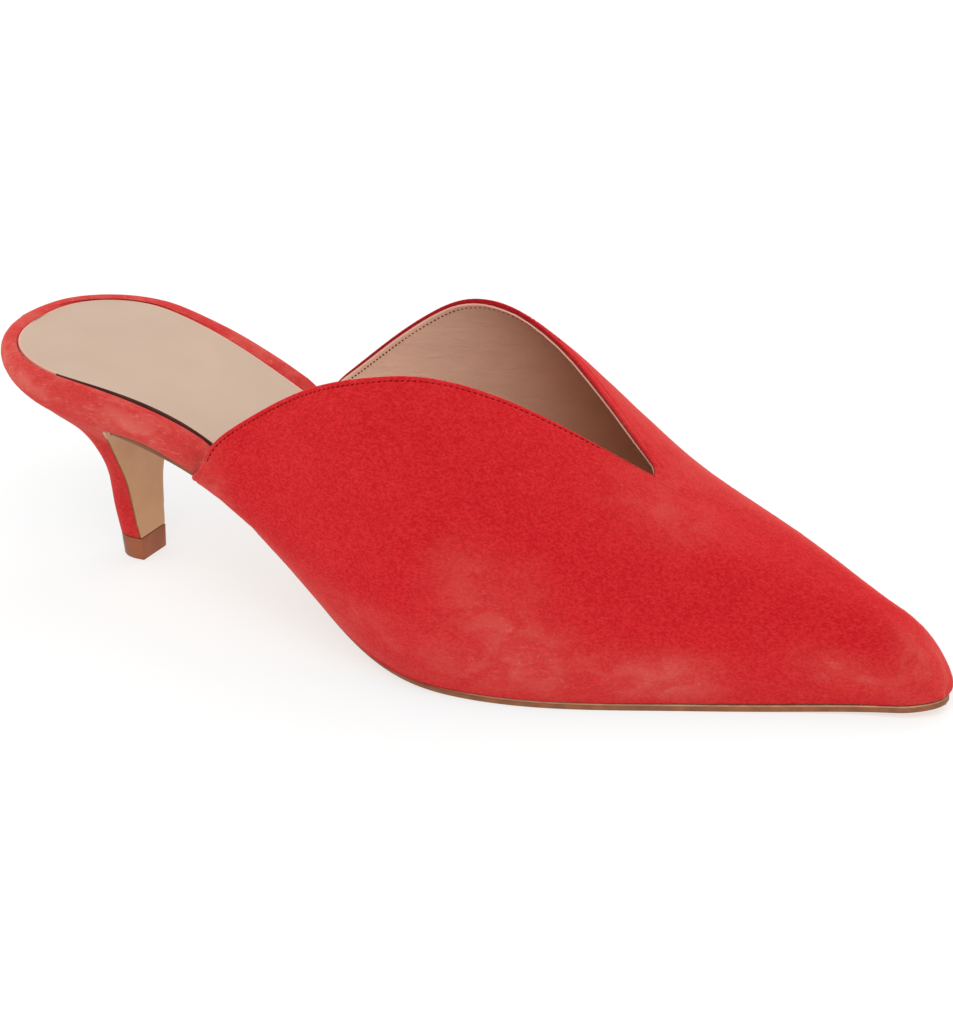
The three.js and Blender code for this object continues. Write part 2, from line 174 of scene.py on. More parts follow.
FEATHER = Table(
    ("at", "lateral", "medial"),
    (0.0, 0.324, 0.341),
    (0.1, 0.336, 0.346),
    (0.2, 0.321, 0.326),
    (0.32, 0.338, 0.313),
    (0.44, 0.454, 0.374),
    (0.56, 0.536, 0.447),
    (0.66, 0.489, 0.474),
    (0.76, 0.357, 0.398),
    (0.86, 0.216, 0.264),
    (0.94, 0.1225, 0.147),
    (1.0, 0.082, 0.099),
)
ARCH = Table(
    ("at", "rise"),
    (0.0, 1.0),
    (0.15, 0.887),
    (0.27, 0.658),
    (0.38, 0.319),
    (0.46, 0.09),
    (0.52, 0.012),
    (0.58, 0.0),
    (0.64, 0.0),
)
CREST = Table(
    ("at", "rise"),
    (0.27, 0.522),
    (0.4, 0.947),
    (0.52, 1.003),
    (0.62, 0.805),
    (0.7, 0.623),
    (0.78, 0.488),
    (0.86, 0.374),
    (0.94, 0.269),
    (1.0, 0.195),
)
SECTION = Table(
    ("at", "ridge", "fullness"),
    (0.27, 0.008, 1.462),
    (0.5, 0.034, 0.661),
    (0.7, 0.007, 0.898),
    (0.85, 0.018, 0.721),
    (1.0, -0.021, 0.851),
)
SWELL = Table(
    ("at", "out"),
    (0.27, 0.128),
    (0.4, 0.101),
    (0.55, 0.07),
    (0.75, 0.033),
    (1.0, 0.017),
)
TOPLINE = Table(
    ("round", "lateral", "medial"),
    (0.0, 0.262, 0.272),
    (0.05, 0.265, 0.275),
    (0.12, 0.286, 0.293),
    (0.18, 0.309, 0.34),
    (0.24, 0.392, 0.404),
    (0.3, 0.465, 0.456),
    (0.37, 0.524, 0.534),
    (0.44, 0.605, 0.643),
    (0.5, 0.711, 0.711),
)
SOLE_INSET = Table(
    ("at", "inset"),
    (0.16, 0.016),
    (0.27, 0.028),
    (0.4, 0.019),
    (0.55, 0.011),
    (0.75, 0.005),
    (1.0, 0.001),
)
SOCK_INSET = Table(
    ("at", "lateral", "medial"),
    (0.0, 0.041, 0.036),
    (0.116, 0.035, 0.037),
    (0.252, 0.069, 0.054),
    (0.426, 0.041, 0.041),
    (1.0, 0.041, 0.041),
)
BAND_PROFILE = Table(
    ("step", "up", "bulge", "tuck", "hang", "crown"),
    (0, 0.0, 0.0, 1.0, 0.0, 0.0),
    (1, 0.0, 0.0, 0.35, 1.0, 0.0),
    (2, 0.16, 0.5, 0.0, 0.7, 0.0),
    (3, 0.44, 1.0, 0.0, 0.2, 0.15),
    (4, 0.74, 0.8, 0.0, 0.0, 0.6),
    (5, 0.94, 0.1, 0.0, 0.0, 1.0),
    (6, 1.0, -0.8, 0.0, 0.0, 0.15),
)
HANG = Table(
    ("at", "drop"),
    (0.0, 0.1),
    (0.05, 0.7),
    (0.1, 1.6),
    (0.15, 1.5),
    (0.19, 0.2),
    (0.23, -0.4),
    (0.27, -0.5),
)
HEEL = Table(
    ("up", "back", "breast", "half"),
    (0.0, 0.626, 0.842, 0.22),
    (0.19, 0.602, 0.83, 0.27),
    (0.4, 0.598, 0.826, 0.338),
    (0.61, 0.561, 0.834, 0.505),
    (0.78, 0.37, 0.85, 0.664),
    (0.9, 0.12, 0.925, 0.874),
    (1.0, 0.02, 1.0, 1.0),
)


@dataclass(frozen=True)
class Last:
    """Form that the shoe is made over. Its own frame has X = 0 at the back of the seat."""

    length: float = 258 * MM
    ball_width: float = 76 * MM
    seat_height: float = 51.2 * MM
    instep_rise: float = 75 * MM
    seat_radius: float = 28.8 * MM
    toe_radius: float = 9 * MM
    toe_rise_radius: float = 14 * MM
    toe_spring: float = 2.3 * MM
    toe_overhang: float = 1 * MM
    breast_length: float = 41.2 * MM
    wall: float = 1.8 * MM
    outsole: float = 1.8 * MM
    gap: float = 0.3 * MM
    tread_start: float = 0.58
    spring_start: float = 0.8
    swell_height: float = 0.32
    level_edge: float = 0.25
    step: float = 0.004

    @property
    def stack(self) -> float:
        """Height of the feather line at the ball: the outsole and the gap over it."""
        return self.outsole + self.gap

    @property
    def cavity_end(self) -> float:
        """Place where the open inside ends, as a share of the length."""
        return 1 - self.toe_radius / self.length

    def feather_half(self, x: Array, side: Array) -> Array:
        """Half width of the feather line before its ends round off.

        Args:
            x: Places along the sole in metres.
            side: -1 for the outer side or 1 for the inner one, at each place.

        Returns:
            The half widths in metres.
        """
        at = np.asarray(x) / self.length
        lateral = FEATHER.read("lateral", at)
        medial = FEATHER.read("medial", at)
        return self.ball_width * np.where(np.asarray(side) < 0, lateral, medial)

    def feather_height(self, x: Array) -> Array:
        """Height of the feather line at places along the sole in metres.

        Args:
            x: Places along the sole in metres.

        Returns:
            The heights in metres.
        """
        at = np.asarray(x) / self.length
        arch = np.where(at < self.tread_start, np.maximum(ARCH.read("rise", at), 0), 0)
        spring = np.maximum((at - self.spring_start) / (1 - self.spring_start), 0) ** 2
        return self.stack + arch * (self.seat_height - self.stack) + spring * self.toe_spring

    def toe_cap(self, x: Array, radius: float) -> Array:
        """Elliptic rounding of the toe, 1 along the last and 0 at the tip."""
        along = np.clip((x - self.length + radius) / radius, 0, 1)
        return np.sqrt(1 - along * along)

    def crest(self, x: Array) -> Array:
        """Height of the crest over the feather line."""
        rise = CREST.read("rise", x / self.length) * self.instep_rise
        return rise * self.toe_cap(x, self.toe_rise_radius)

    def outer(self, at: Array, turn: Array) -> Array:
        """Points of the upper's outer surface.

        Args:
            at: Shares along the sole.
            turn: Shares round the upper.

        Returns:
            One point in each row, in the last's own frame.
        """
        x = at * self.length
        cap = self.toe_cap(x, self.toe_radius)
        angle = np.pi * turn
        fullness = SECTION.read("fullness", at)
        lift = np.maximum(np.sin(angle), 0) ** fullness
        side = np.where(np.cos(angle) > 0, -1, 1)
        reach = np.abs(np.cos(angle)) ** fullness
        ridge = SECTION.read("ridge", at) * self.ball_width * cap
        half = self.feather_half(x, side) * cap - side * ridge
        bump = lift / self.swell_height * np.exp(1 - lift / self.swell_height)
        swell = SWELL.read("out", at) * self.ball_width * cap * bump
        overhang = self.toe_overhang * bump * 4 * cap * (1 - cap)
        y = ridge + side * (reach * half + swell)
        z = self.feather_height(x) + self.crest(x) * lift
        return np.stack([x + overhang, y, z], axis=1)

    def normal(self, at: Array, turn: Array) -> Array:
        """Outward unit normals of the outer surface, level along the feather line.

        Args:
            at: Shares along the sole.
            turn: Shares round the upper.

        Returns:
            One normal in each row.
        """
        near = np.clip(turn, self.step, 1 - self.step)
        front = np.minimum(at + self.step, 1 - self.step / 4)
        along = self.outer(front, near) - self.outer(front - 2 * self.step, near)
        across = self.outer(at, near + self.step) - self.outer(at, near - self.step)
        normal = unit(np.cross(along, across))
        normal[:, 2] *= smooth(np.sin(np.pi * np.clip(turn, 0, 1)), 0, self.level_edge)
        return unit(normal)

    def topline(self, turn: Array) -> Array:
        """Share along the sole where the V cut's edge crosses each line round the upper."""
        lateral = TOPLINE.read("lateral", turn)
        medial = TOPLINE.read("medial", 1 - turn)
        return np.where(turn <= 0.5, lateral, medial)

    def topline_sine(self, turn: Array) -> Array:
        """Sine of the angle between the topline and the lines along the upper.

        An inset measured square to the topline, divided by it, is the way along such a line.

        Args:
            turn: Shares round the upper.

        Returns:
            The sine at each share.
        """
        step = self.step / 2
        away = np.where(turn <= 0.5, -step, step)
        middle = np.clip(turn + np.where(np.abs(turn - 0.5) < step, away, 0), step, 1 - step)
        at = self.topline(middle)
        edge = self.outer(self.topline(middle + step), middle + step)
        edge = unit(edge - self.outer(self.topline(middle - step), middle - step))
        along = unit(self.outer(at + step, middle) - self.outer(at - step, middle))
        return np.linalg.norm(np.cross(edge, along), axis=1)


@dataclass(frozen=True)
class HeelForm:
    """Sizes of the heel block, its cover and its top piece."""

    last: Last
    cover: float = 1.2 * MM
    inset: float = 1.1 * MM
    tip_shift: float = -1 * MM
    top_piece: float = 6 * MM
    taper: float = 0.35 * MM
    roundness: float = 0.75

    def section(self, up: Array, trim: float = 0.0) -> tuple[Array, Array, Array, Array]:
        """Sizes of the horizontal section.

        Args:
            up: Shares of the block's height.
            trim: How far the back and the sides are taken in, in metres.

        Returns:
            Place of the back, place of the breast, half width and sideways shift.
        """
        length = self.last.breast_length
        back = HEEL.read("back", up) * length + trim
        front = HEEL.read("breast", up) * length
        width = self.last.feather_half(length, -1) + self.last.feather_half(length, 1)
        half = HEEL.read("half", up) * (width / 2 - self.inset) - trim
        return back, front, half, self.tip_shift * (1 - up)

    def height(self, up: Array, x: Array) -> Array:
        """Height of the block's level: flat at the tip, along the seat's underside at the top."""
        base = self.top_piece + self.last.gap
        return base + (self.last.feather_height(x) - self.last.gap - base) * up

    def shift(self) -> Array:
        """Way from the last's frame to the shoe's, with its origin under the top piece."""
        back, front, _, middle = self.section(np.zeros(1), self.taper)
        return np.array([-(back[0] + front[0]) / 2, -middle[0], 0.0])


class Builder:
    """Makes finished objects from bmesh shapes and hands them to the frame."""

    def __init__(self, shift: Array) -> None:
        """Keeps the way from the last's frame to the shoe's."""
        self.shift = shift

    def grid(self, along: int, across: int, place: Place) -> bmesh.types.BMesh:
        """Sheet whose vertices a function moves.

        Args:
            along: Cells along the first share.
            across: Cells along the second share.
            place: Gives a point in the last's frame for each pair of shares, 0 to 1.

        Returns:
            The sheet, with its doubles merged, so that seams and poles are closed.
        """
        mesh = bmesh.new()
        bmesh.ops.create_grid(mesh, x_segments=along, y_segments=across, size=0.5)
        shares = np.array([vertex.co[:2] for vertex in mesh.verts]) + 0.5
        shares -= shares.min(axis=0)
        shares /= shares.max(axis=0)
        spots = place(shares[:, 0], shares[:, 1]) + self.shift
        layer = mesh.loops.layers.uv.new("shares")
        for vertex, (first, second) in zip(mesh.verts, shares):
            for loop in vertex.link_loops:
                loop[layer].uv = (first, second)
        for vertex, spot in zip(mesh.verts, spots):
            vertex.co = spot
        bmesh.ops.remove_doubles(mesh, verts=mesh.verts[:], dist=1e-6)
        return mesh

    def finish(
        self,
        name: str,
        mesh: bmesh.types.BMesh,
        materials: Sequence[bpy.types.Material],
        slot: Slot,
        replaces: Sequence[str] = (),
        crease: float = 40.0,
    ) -> bpy.types.Object:
        """Turns a shape into a piece of the shoe.

        Args:
            name: Name of the piece.
            mesh: The shape, already in place. It is freed here.
            materials: Its materials, in the order of its faces' numbers.
            slot: The record's slot for the piece. It is not used.
            replaces: Nodes of the construction model that it stands for.
            crease: Angle in degrees past which an edge stays sharp.

        Returns:
            The finished object, at the origin.
        """
        data = bpy.data.meshes.new(name)
        mesh.to_mesh(data)
        mesh.free()
        for material in materials:
            data.materials.append(material)
        data.polygons.foreach_set("use_smooth", [True] * len(data.polygons))
        data.set_sharp_from_angle(angle=math.radians(crease))
        piece = bpy.data.objects.new(name, data)
        bpy.context.scene.collection.objects.link(piece)
        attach(piece, BODY)
        if replaces:
            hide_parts(*replaces)
        LOG.info("%s: %d faces", name, len(data.polygons))
        return piece

    def spots(self, piece: bpy.types.Object) -> Array:
        """Vertices of a piece in the last's own frame, one in each row."""
        return np.array([vertex.co for vertex in piece.data.vertices]) - self.shift


def turn_outward(mesh: bmesh.types.BMesh) -> None:
    """Turns every face of a closed shape outward."""
    bmesh.ops.recalc_face_normals(mesh, faces=mesh.faces[:])


def write_brush(piece: bpy.types.Object, amounts: Array) -> None:
    """Writes how far the nap is brushed at each vertex, 0 to 1, for the suede's material; on the
    seat it also carries a painted highlight.
    """
    attribute = piece.data.attributes.new("brush", "FLOAT", "POINT")
    attribute.data.foreach_set("value", np.clip(amounts, 0, 1).astype(np.float32))


def hill(value: Array, middle: float, width: float) -> Array:
    """Bell curve, 1 at the middle and near 0 two widths away."""
    return np.exp(-(((value - middle) / width) ** 2))


def add_wall(piece: bpy.types.Object, thickness: float, rim: int = 0) -> None:
    """Gives a sheet its wall on the inner side.

    Args:
        piece: The sheet, with its faces pointing out.
        thickness: Thickness of the wall in metres.
        rim: How many materials further on the wall's edge takes its own.
    """
    wall = piece.modifiers.new("wall", "SOLIDIFY")
    wall.thickness = thickness
    wall.offset = -1
    wall.material_offset_rim = rim


def ruffle(points: Array, normals: Array, *waves: Wave) -> Array:
    """Points moved along their normals by soft noise.

    Args:
        points: Points in rows.
        normals: Unit normals in rows.
        waves: For each layer of noise, the greatest move and the size of one wave in metres.

    Returns:
        The moved points.
    """
    for reach, size in waves:
        amounts = [noise.noise(Vector(point / size)) for point in points]
        points = points + normals * (reach * np.array(amounts))[:, None]
    return points


class Nodes:
    """Small helper that adds and joins the nodes of one material."""

    def __init__(self, name: str) -> None:
        """Makes a new material with a principled surface.

        Args:
            name: Name of the material.
        """
        self.material = bpy.data.materials.new(name)
        self.material.use_nodes = True
        self.tree = self.material.node_tree
        self.surface = self.tree.nodes["Principled BSDF"]

    def set(self, **values: float | Colour) -> None:
        """Sets plain values on the surface; a name's low lines stand for spaces."""
        for name, value in values.items():
            words = name.replace("_", " ").title().replace("Ior", "IOR")
            socket = self.surface.inputs[words]
            socket.default_value = (*value, 1.0) if isinstance(value, tuple) else value

    def join(self, source: bpy.types.NodeSocket, target: bpy.types.NodeSocket) -> None:
        """Links one socket to another."""
        self.tree.links.new(source, target)

    def spots(self, stretch: Triple = (1.0, 1.0, 1.0)) -> bpy.types.NodeSocket:
        """Object coordinates, stretched along the axes.

        Args:
            stretch: Scale along each axis.

        Returns:
            The coordinates.
        """
        texture = self.tree.nodes.new("ShaderNodeTexCoord")
        mapping = self.tree.nodes.new("ShaderNodeMapping")
        mapping.inputs["Scale"].default_value = stretch
        self.join(texture.outputs["Object"], mapping.inputs["Vector"])
        return mapping.outputs["Vector"]

    def noise(
        self,
        size: float,
        detail: float = 2.0,
        rough: float = 0.5,
        warp: float = 0.0,
        stretch: Triple = (1.0, 1.0, 1.0),
    ) -> bpy.types.NodeSocket:
        """Noise over the surface.

        Args:
            size: Size of its largest spots in metres.
            detail: Finer layers over them.
            rough: Weight of the finer layers.
            warp: How much the noise is distorted.
            stretch: Scale along each axis; below 1 makes the spots longer there.

        Returns:
            The noise's value, about 0.5 in the middle.
        """
        node = self.tree.nodes.new("ShaderNodeTexNoise")
        node.inputs["Scale"].default_value = 1 / size
        node.inputs["Detail"].default_value = detail
        node.inputs["Roughness"].default_value = rough
        node.inputs["Distortion"].default_value = warp
        self.join(self.spots(stretch), node.inputs["Vector"])
        return node.outputs["Fac"]

    def bounced(self) -> bpy.types.NodeSocket:
        """1 where the surface is seen by soft bounced light and 0 where the eye sees it."""
        return self.tree.nodes.new("ShaderNodeLightPath").outputs["Is Diffuse Ray"]

    def attribute(self, name: str) -> bpy.types.NodeSocket:
        """Value of the piece's own attribute."""
        node = self.tree.nodes.new("ShaderNodeAttribute")
        node.attribute_name = name
        return node.outputs["Fac"]

    def facing(self) -> bpy.types.NodeSocket:
        """0 where the surface faces the eye and 1 at its rim."""
        node = self.tree.nodes.new("ShaderNodeLayerWeight")
        node.inputs["Blend"].default_value = 0.5
        return node.outputs["Facing"]

    def between(self, value: bpy.types.NodeSocket, low: float, high: float, lowest: float = 0.0,
                highest: float = 1.0) -> bpy.types.NodeSocket:
        """Value mapped from one range to another and held within it.

        Args:
            value: The value.
            low: Where the first range starts.
            high: Where the first range ends.
            lowest: Where the second range starts.
            highest: Where the second range ends.

        Returns:
            The mapped value.
        """
        node = self.tree.nodes.new("ShaderNodeMapRange")
        node.interpolation_type = "SMOOTHSTEP"
        node.inputs["From Min"].default_value = low
        node.inputs["From Max"].default_value = high
        node.inputs["To Min"].default_value = lowest
        node.inputs["To Max"].default_value = highest
        self.join(value, node.inputs["Value"])
        return node.outputs["Result"]

    def sums(self, kind: str, first: bpy.types.NodeSocket, second: bpy.types.NodeSocket | float
             ) -> bpy.types.NodeSocket:
        """One sum of two values, such as ADD or MULTIPLY.

        Args:
            kind: Name of the sum.
            first: A value.
            second: Another value or a number.

        Returns:
            The result.
        """
        node = self.tree.nodes.new("ShaderNodeMath")
        node.operation = kind
        self.join(first, node.inputs[0])
        if isinstance(second, (int, float)):
            node.inputs[1].default_value = second
        else:
            self.join(second, node.inputs[1])
        return node.outputs["Value"]

    def weigh(self, *parts: tuple[bpy.types.NodeSocket, float]) -> bpy.types.NodeSocket:
        """Sum of values, each times its own weight.

        Args:
            parts: Pairs of a value and its weight.

        Returns:
            The sum.
        """
        shares = [self.sums("MULTIPLY", value, weight) for value, weight in parts]
        total = shares[0]
        for share in shares[1:]:
            total = self.sums("ADD", total, share)
        return total

    def blend(
        self,
        share: bpy.types.NodeSocket,
        first: Colour | bpy.types.NodeSocket,
        second: Colour | bpy.types.NodeSocket,
    ) -> bpy.types.NodeSocket:
        """Colour between two colours.

        Args:
            share: 0 for the first colour and 1 for the second.
            first: A colour or another blend.
            second: A colour or another blend.

        Returns:
            The blended colour.
        """
        node = self.tree.nodes.new("ShaderNodeMix")
        node.data_type = "RGBA"
        self.join(share, node.inputs["Factor"])
        for name, colour in (("A", first), ("B", second)):
            socket = next(s for s in node.inputs if s.name == name and s.type == "RGBA")
            if isinstance(colour, tuple):
                socket.default_value = (*colour, 1.0)
            else:
                self.join(colour, socket)
        return next(s for s in node.outputs if s.type == "RGBA")

    def bump(self, height: bpy.types.NodeSocket, distance: float, strength: float) -> None:
        """Relief on the surface.

        Args:
            height: Height of the relief, 0 to 1.
            distance: Depth in metres.
            strength: Share of the relief that shows.
        """
        node = self.tree.nodes.new("ShaderNodeBump")
        node.inputs["Distance"].default_value = distance
        node.inputs["Strength"].default_value = strength
        self.join(height, node.inputs["Height"])
        self.join(node.outputs["Normal"], self.surface.inputs["Normal"])

    def colour(self, source: bpy.types.NodeSocket) -> None:
        """Colours the surface."""
        self.join(source, self.surface.inputs["Base Color"])


@dataclass(frozen=True)
class SuedeFinish:
    """Brushed suede: a mottled short nap, lighter where it was stroked up, with a painted sheen
    that turns it pale pink at grazing angles.
    """

    name: str = "red_suede"
    deep: Colour = seen(192, 22, 30)
    middle: Colour = seen(208, 42, 46)
    brushed: Colour = seen(212, 104, 92)
    strokes: Colour = seen(226, 138, 124)
    # Pale pink of the painted sheen at grazing angles.
    rim: Colour = seen(214, 84, 78)
    bounce: Colour = seen(120, 104, 104)
    nap_depth: float = 0.3 * MM

    def build(self) -> bpy.types.Material:
        """The suede's material, which reads the attribute brush for the listed patches.

        Soft bounced light meets a greyer suede, so that the pale floor beside it stays neutral.

        Returns:
            The material.
        """
        nodes = Nodes(self.name)
        nodes.set(roughness=0.95, specular_ior_level=0.1, sheen_weight=0.18, sheen_roughness=0.4,
                  sheen_tint=seen(255, 150, 135), diffuse_roughness=1.0)
        clouds = nodes.noise(11 * MM, detail=3.0, rough=0.55, warp=0.5)
        mottle = nodes.noise(2.6 * MM, detail=2.0, rough=0.6, warp=0.8, stretch=(0.7, 1.0, 1.0))
        nap = nodes.noise(0.55 * MM, detail=3.0, rough=0.75, warp=0.5, stretch=(0.6, 1.0, 1.0))
        brush = nodes.attribute("brush")
        tone = nodes.weigh(
            (nodes.between(clouds, 0.3, 0.7), 0.14),
            (nodes.between(mottle, 0.3, 0.7), 0.14),
            (nodes.between(nap, 0.36, 0.64), 0.72),
        )
        base = nodes.blend(nodes.between(tone, 0.1, 0.9), self.deep, self.middle)
        strokes = nodes.noise(6 * MM, detail=3.0, rough=0.6, warp=0.6, stretch=(0.6, 1.0, 1.0))
        streaky = nodes.sums("MULTIPLY", brush, nodes.between(strokes, 0.4, 0.62, 0.45, 1.0))
        base = nodes.blend(streaky, base, self.brushed)
        hairs = nodes.noise(0.8 * MM, detail=2.0, rough=0.6, warp=0.7, stretch=(0.4, 1.0, 1.0))
        raised = nodes.between(brush, 0.15, 0.9, 0.06, 0.4)
        marks = nodes.sums("MULTIPLY", nodes.between(hairs, 0.56, 0.72), raised)
        base = nodes.blend(marks, base, self.strokes)
        # Painted sheen: towards the silhouette the colour turns to the pale pink rim colour.
        painted_sheen = nodes.between(nodes.facing(), 0.6, 1.0, 0.0, 0.6)
        base = nodes.blend(painted_sheen, base, self.rim)
        nodes.colour(nodes.blend(nodes.bounced(), base, self.bounce))
        nodes.bump(nodes.weigh((nap, 0.75), (mottle, 0.25)), self.nap_depth, 0.6)
        return nodes.material


@dataclass(frozen=True)
class LeatherFinish:
    """Smooth leather with a faint grain."""

    name: str
    light: Colour
    dark: Colour
    roughness: float
    cloud: float = 18 * MM
    grain: float = 0.7 * MM
    depth: float = 0.05 * MM
    strength: float = 0.25
    coat: float = 0.0
    shine: float = 0.35

    def build(self) -> bpy.types.Material:
        """The leather's material.

        Returns:
            The material.
        """
        nodes = Nodes(self.name)
        nodes.set(roughness=self.roughness, specular_ior_level=self.shine, coat_weight=self.coat,
                  coat_roughness=0.35)
        clouds = nodes.noise(self.cloud, detail=3.0, rough=0.5)
        grain = nodes.noise(self.grain, detail=3.0, rough=0.6)
        tone = nodes.weigh((nodes.between(clouds, 0.3, 0.7), 0.7), (grain, 0.3))
        nodes.colour(nodes.blend(tone, self.dark, self.light))
        nodes.bump(grain, self.depth, self.strength)
        return nodes.material


@dataclass(frozen=True)
class LiningFinish:
    """Lining leather, pale at the flaps and darker towards the toe with painted shade, where the
    inside of the shoe lies deep in shade.
    """

    name: str = "lining_leather"
    light: Colour = seen(250, 210, 186)
    # Colour of the painted shade deep towards the toe.
    dark: Colour = seen(182, 120, 90)
    lit_end: float = 52 * MM
    shaded_start: float = 128 * MM
    fold_depth: float = 0.5 * MM

    def build(self) -> bpy.types.Material:
        """The lining's material.

        Returns:
            The material.
        """
        nodes = Nodes(self.name)
        nodes.set(roughness=0.6, specular_ior_level=0.3)
        grain = nodes.noise(0.8 * MM, detail=3.0, rough=0.6)
        folds = nodes.noise(4 * MM, detail=2.0, rough=0.5, warp=0.8, stretch=(0.5, 1.0, 1.4))
        # Painted shade: the colour darkens along X from the pale flaps to the toe, where the inside
        # lies in shade.
        split = nodes.tree.nodes.new("ShaderNodeSeparateXYZ")
        nodes.join(nodes.spots(), split.inputs["Vector"])
        deep = nodes.between(split.outputs["X"], self.lit_end, self.shaded_start)
        nodes.colour(nodes.blend(deep, self.light, self.dark))
        nodes.bump(nodes.weigh((grain, 0.25), (folds, 0.75)), self.fold_depth, 0.35)
        return nodes.material


def leather(*values: str | Colour | float, **options: float) -> bpy.types.Material:
    """Field that holds a leather, made once from the values of its finish."""
    return field(default_factory=lambda: LeatherFinish(*values, **options).build())


@dataclass(frozen=True)
class Finishes:
    """Every material of the shoe, made once."""

    suede: bpy.types.Material = field(default_factory=lambda: SuedeFinish().build())
    sock: bpy.types.Material = leather(
        "sock_leather", seen(198, 172, 151), seen(192, 165, 144), 0.55, grain=0.5 * MM,
        strength=0.12,
    )
    sock_edge: bpy.types.Material = leather(
        "sock_edge", seen(232, 172, 154), seen(222, 158, 140), 0.8, grain=0.4 * MM
    )
    # Darker copy of the suede for the turned margins and the tucked edge: painted shade inside the
    # fold and under the last.
    turned_shaded: bpy.types.Material = field(
        default_factory=lambda: SuedeFinish(
            "shaded_turned_suede", deep=seen(150, 12, 20), middle=seen(172, 24, 32)
        ).build()
    )
    lining: bpy.types.Material = field(default_factory=lambda: LiningFinish().build())
    tan: bpy.types.Material = leather(
        "tan_leather", seen(200, 154, 114), seen(190, 142, 102), 0.5, cloud=10 * MM, strength=0.2,
        coat=0.1,
    )
    paint: bpy.types.Material = leather(
        "edge_paint", seen(150, 92, 56), seen(120, 72, 44), 0.55, cloud=4 * MM, grain=0.3 * MM,
        depth=0.08 * MM, strength=0.4,
    )
    raw_edge: bpy.types.Material = leather(
        "raw_edge", seen(206, 150, 116), seen(176, 118, 88), 0.8, cloud=3 * MM, grain=0.3 * MM
    )
    # Dark brown for the sock's edge along the outer side: painted shadow of the gap under the
    # lifted sock.
    shadow_edge: bpy.types.Material = leather(
        "painted_shadow_edge", seen(96, 48, 42), seen(66, 30, 28), 0.8, cloud=5 * MM, grain=0.3 * MM
    )
    resin: bpy.types.Material = leather(
        "top_piece_resin", seen(158, 86, 46), seen(134, 68, 36), 0.5, cloud=5 * MM, grain=0.4 * MM,
        strength=0.2, coat=0.05,
    )
    thread: bpy.types.Material = leather(
        "red_thread", seen(140, 10, 20), seen(112, 6, 12), 0.9, cloud=2 * MM, grain=0.2 * MM,
        shine=0.05,
    )


@dataclass(frozen=True)
class Patch:
    """Soft patch of brushed nap, or a dark one, on the upper."""

    at: float
    turn: float
    long: float
    wide: float
    amount: float

    def spread(self, at: Array, turn: Array) -> Array:
        """How much the patch changes the nap at each place."""
        far = ((at - self.at) / self.long) ** 2 + ((turn - self.turn) / self.wide) ** 2
        return self.amount * np.exp(-far)


@dataclass(frozen=True)
class Crease:
    """Soft trough or ridge between two places on the upper."""

    start: tuple[float, float]
    end: tuple[float, float]
    width: float
    depth: float
    girth: float = 150 * MM
    length: float = 258 * MM

    def drop(self, at: Array, turn: Array) -> Array:
        """Depth of the crease at each place, in metres.

        Args:
            at: Shares along the sole.
            turn: Shares round the upper.

        Returns:
            The depths, below 0 on a ridge.
        """
        scale = np.array([self.length, self.girth])
        start = np.array(self.start) * scale
        way = np.array(self.end) * scale - start
        spots = np.stack([at, turn], axis=1) * scale - start
        share = np.clip(spots @ way / (way @ way), 0, 1)
        away = np.linalg.norm(spots - share[:, None] * way, axis=1)
        ends = np.sin(np.pi * np.clip(share, 0.02, 0.98))
        return self.depth * ends * hill(away, 0, self.width)


@dataclass(frozen=True)
class Seam:
    """Row of short stitches between two shares round the upper.

    It lies an inset inside the topline and a depth under the outer surface. Each stitch is so long,
    and its outward is 1 where it is seen from outside and -1 where it is seen from inside.
    """

    name: str
    ends: tuple[float, float]
    inset: float
    depth: float
    long: float
    outward: float


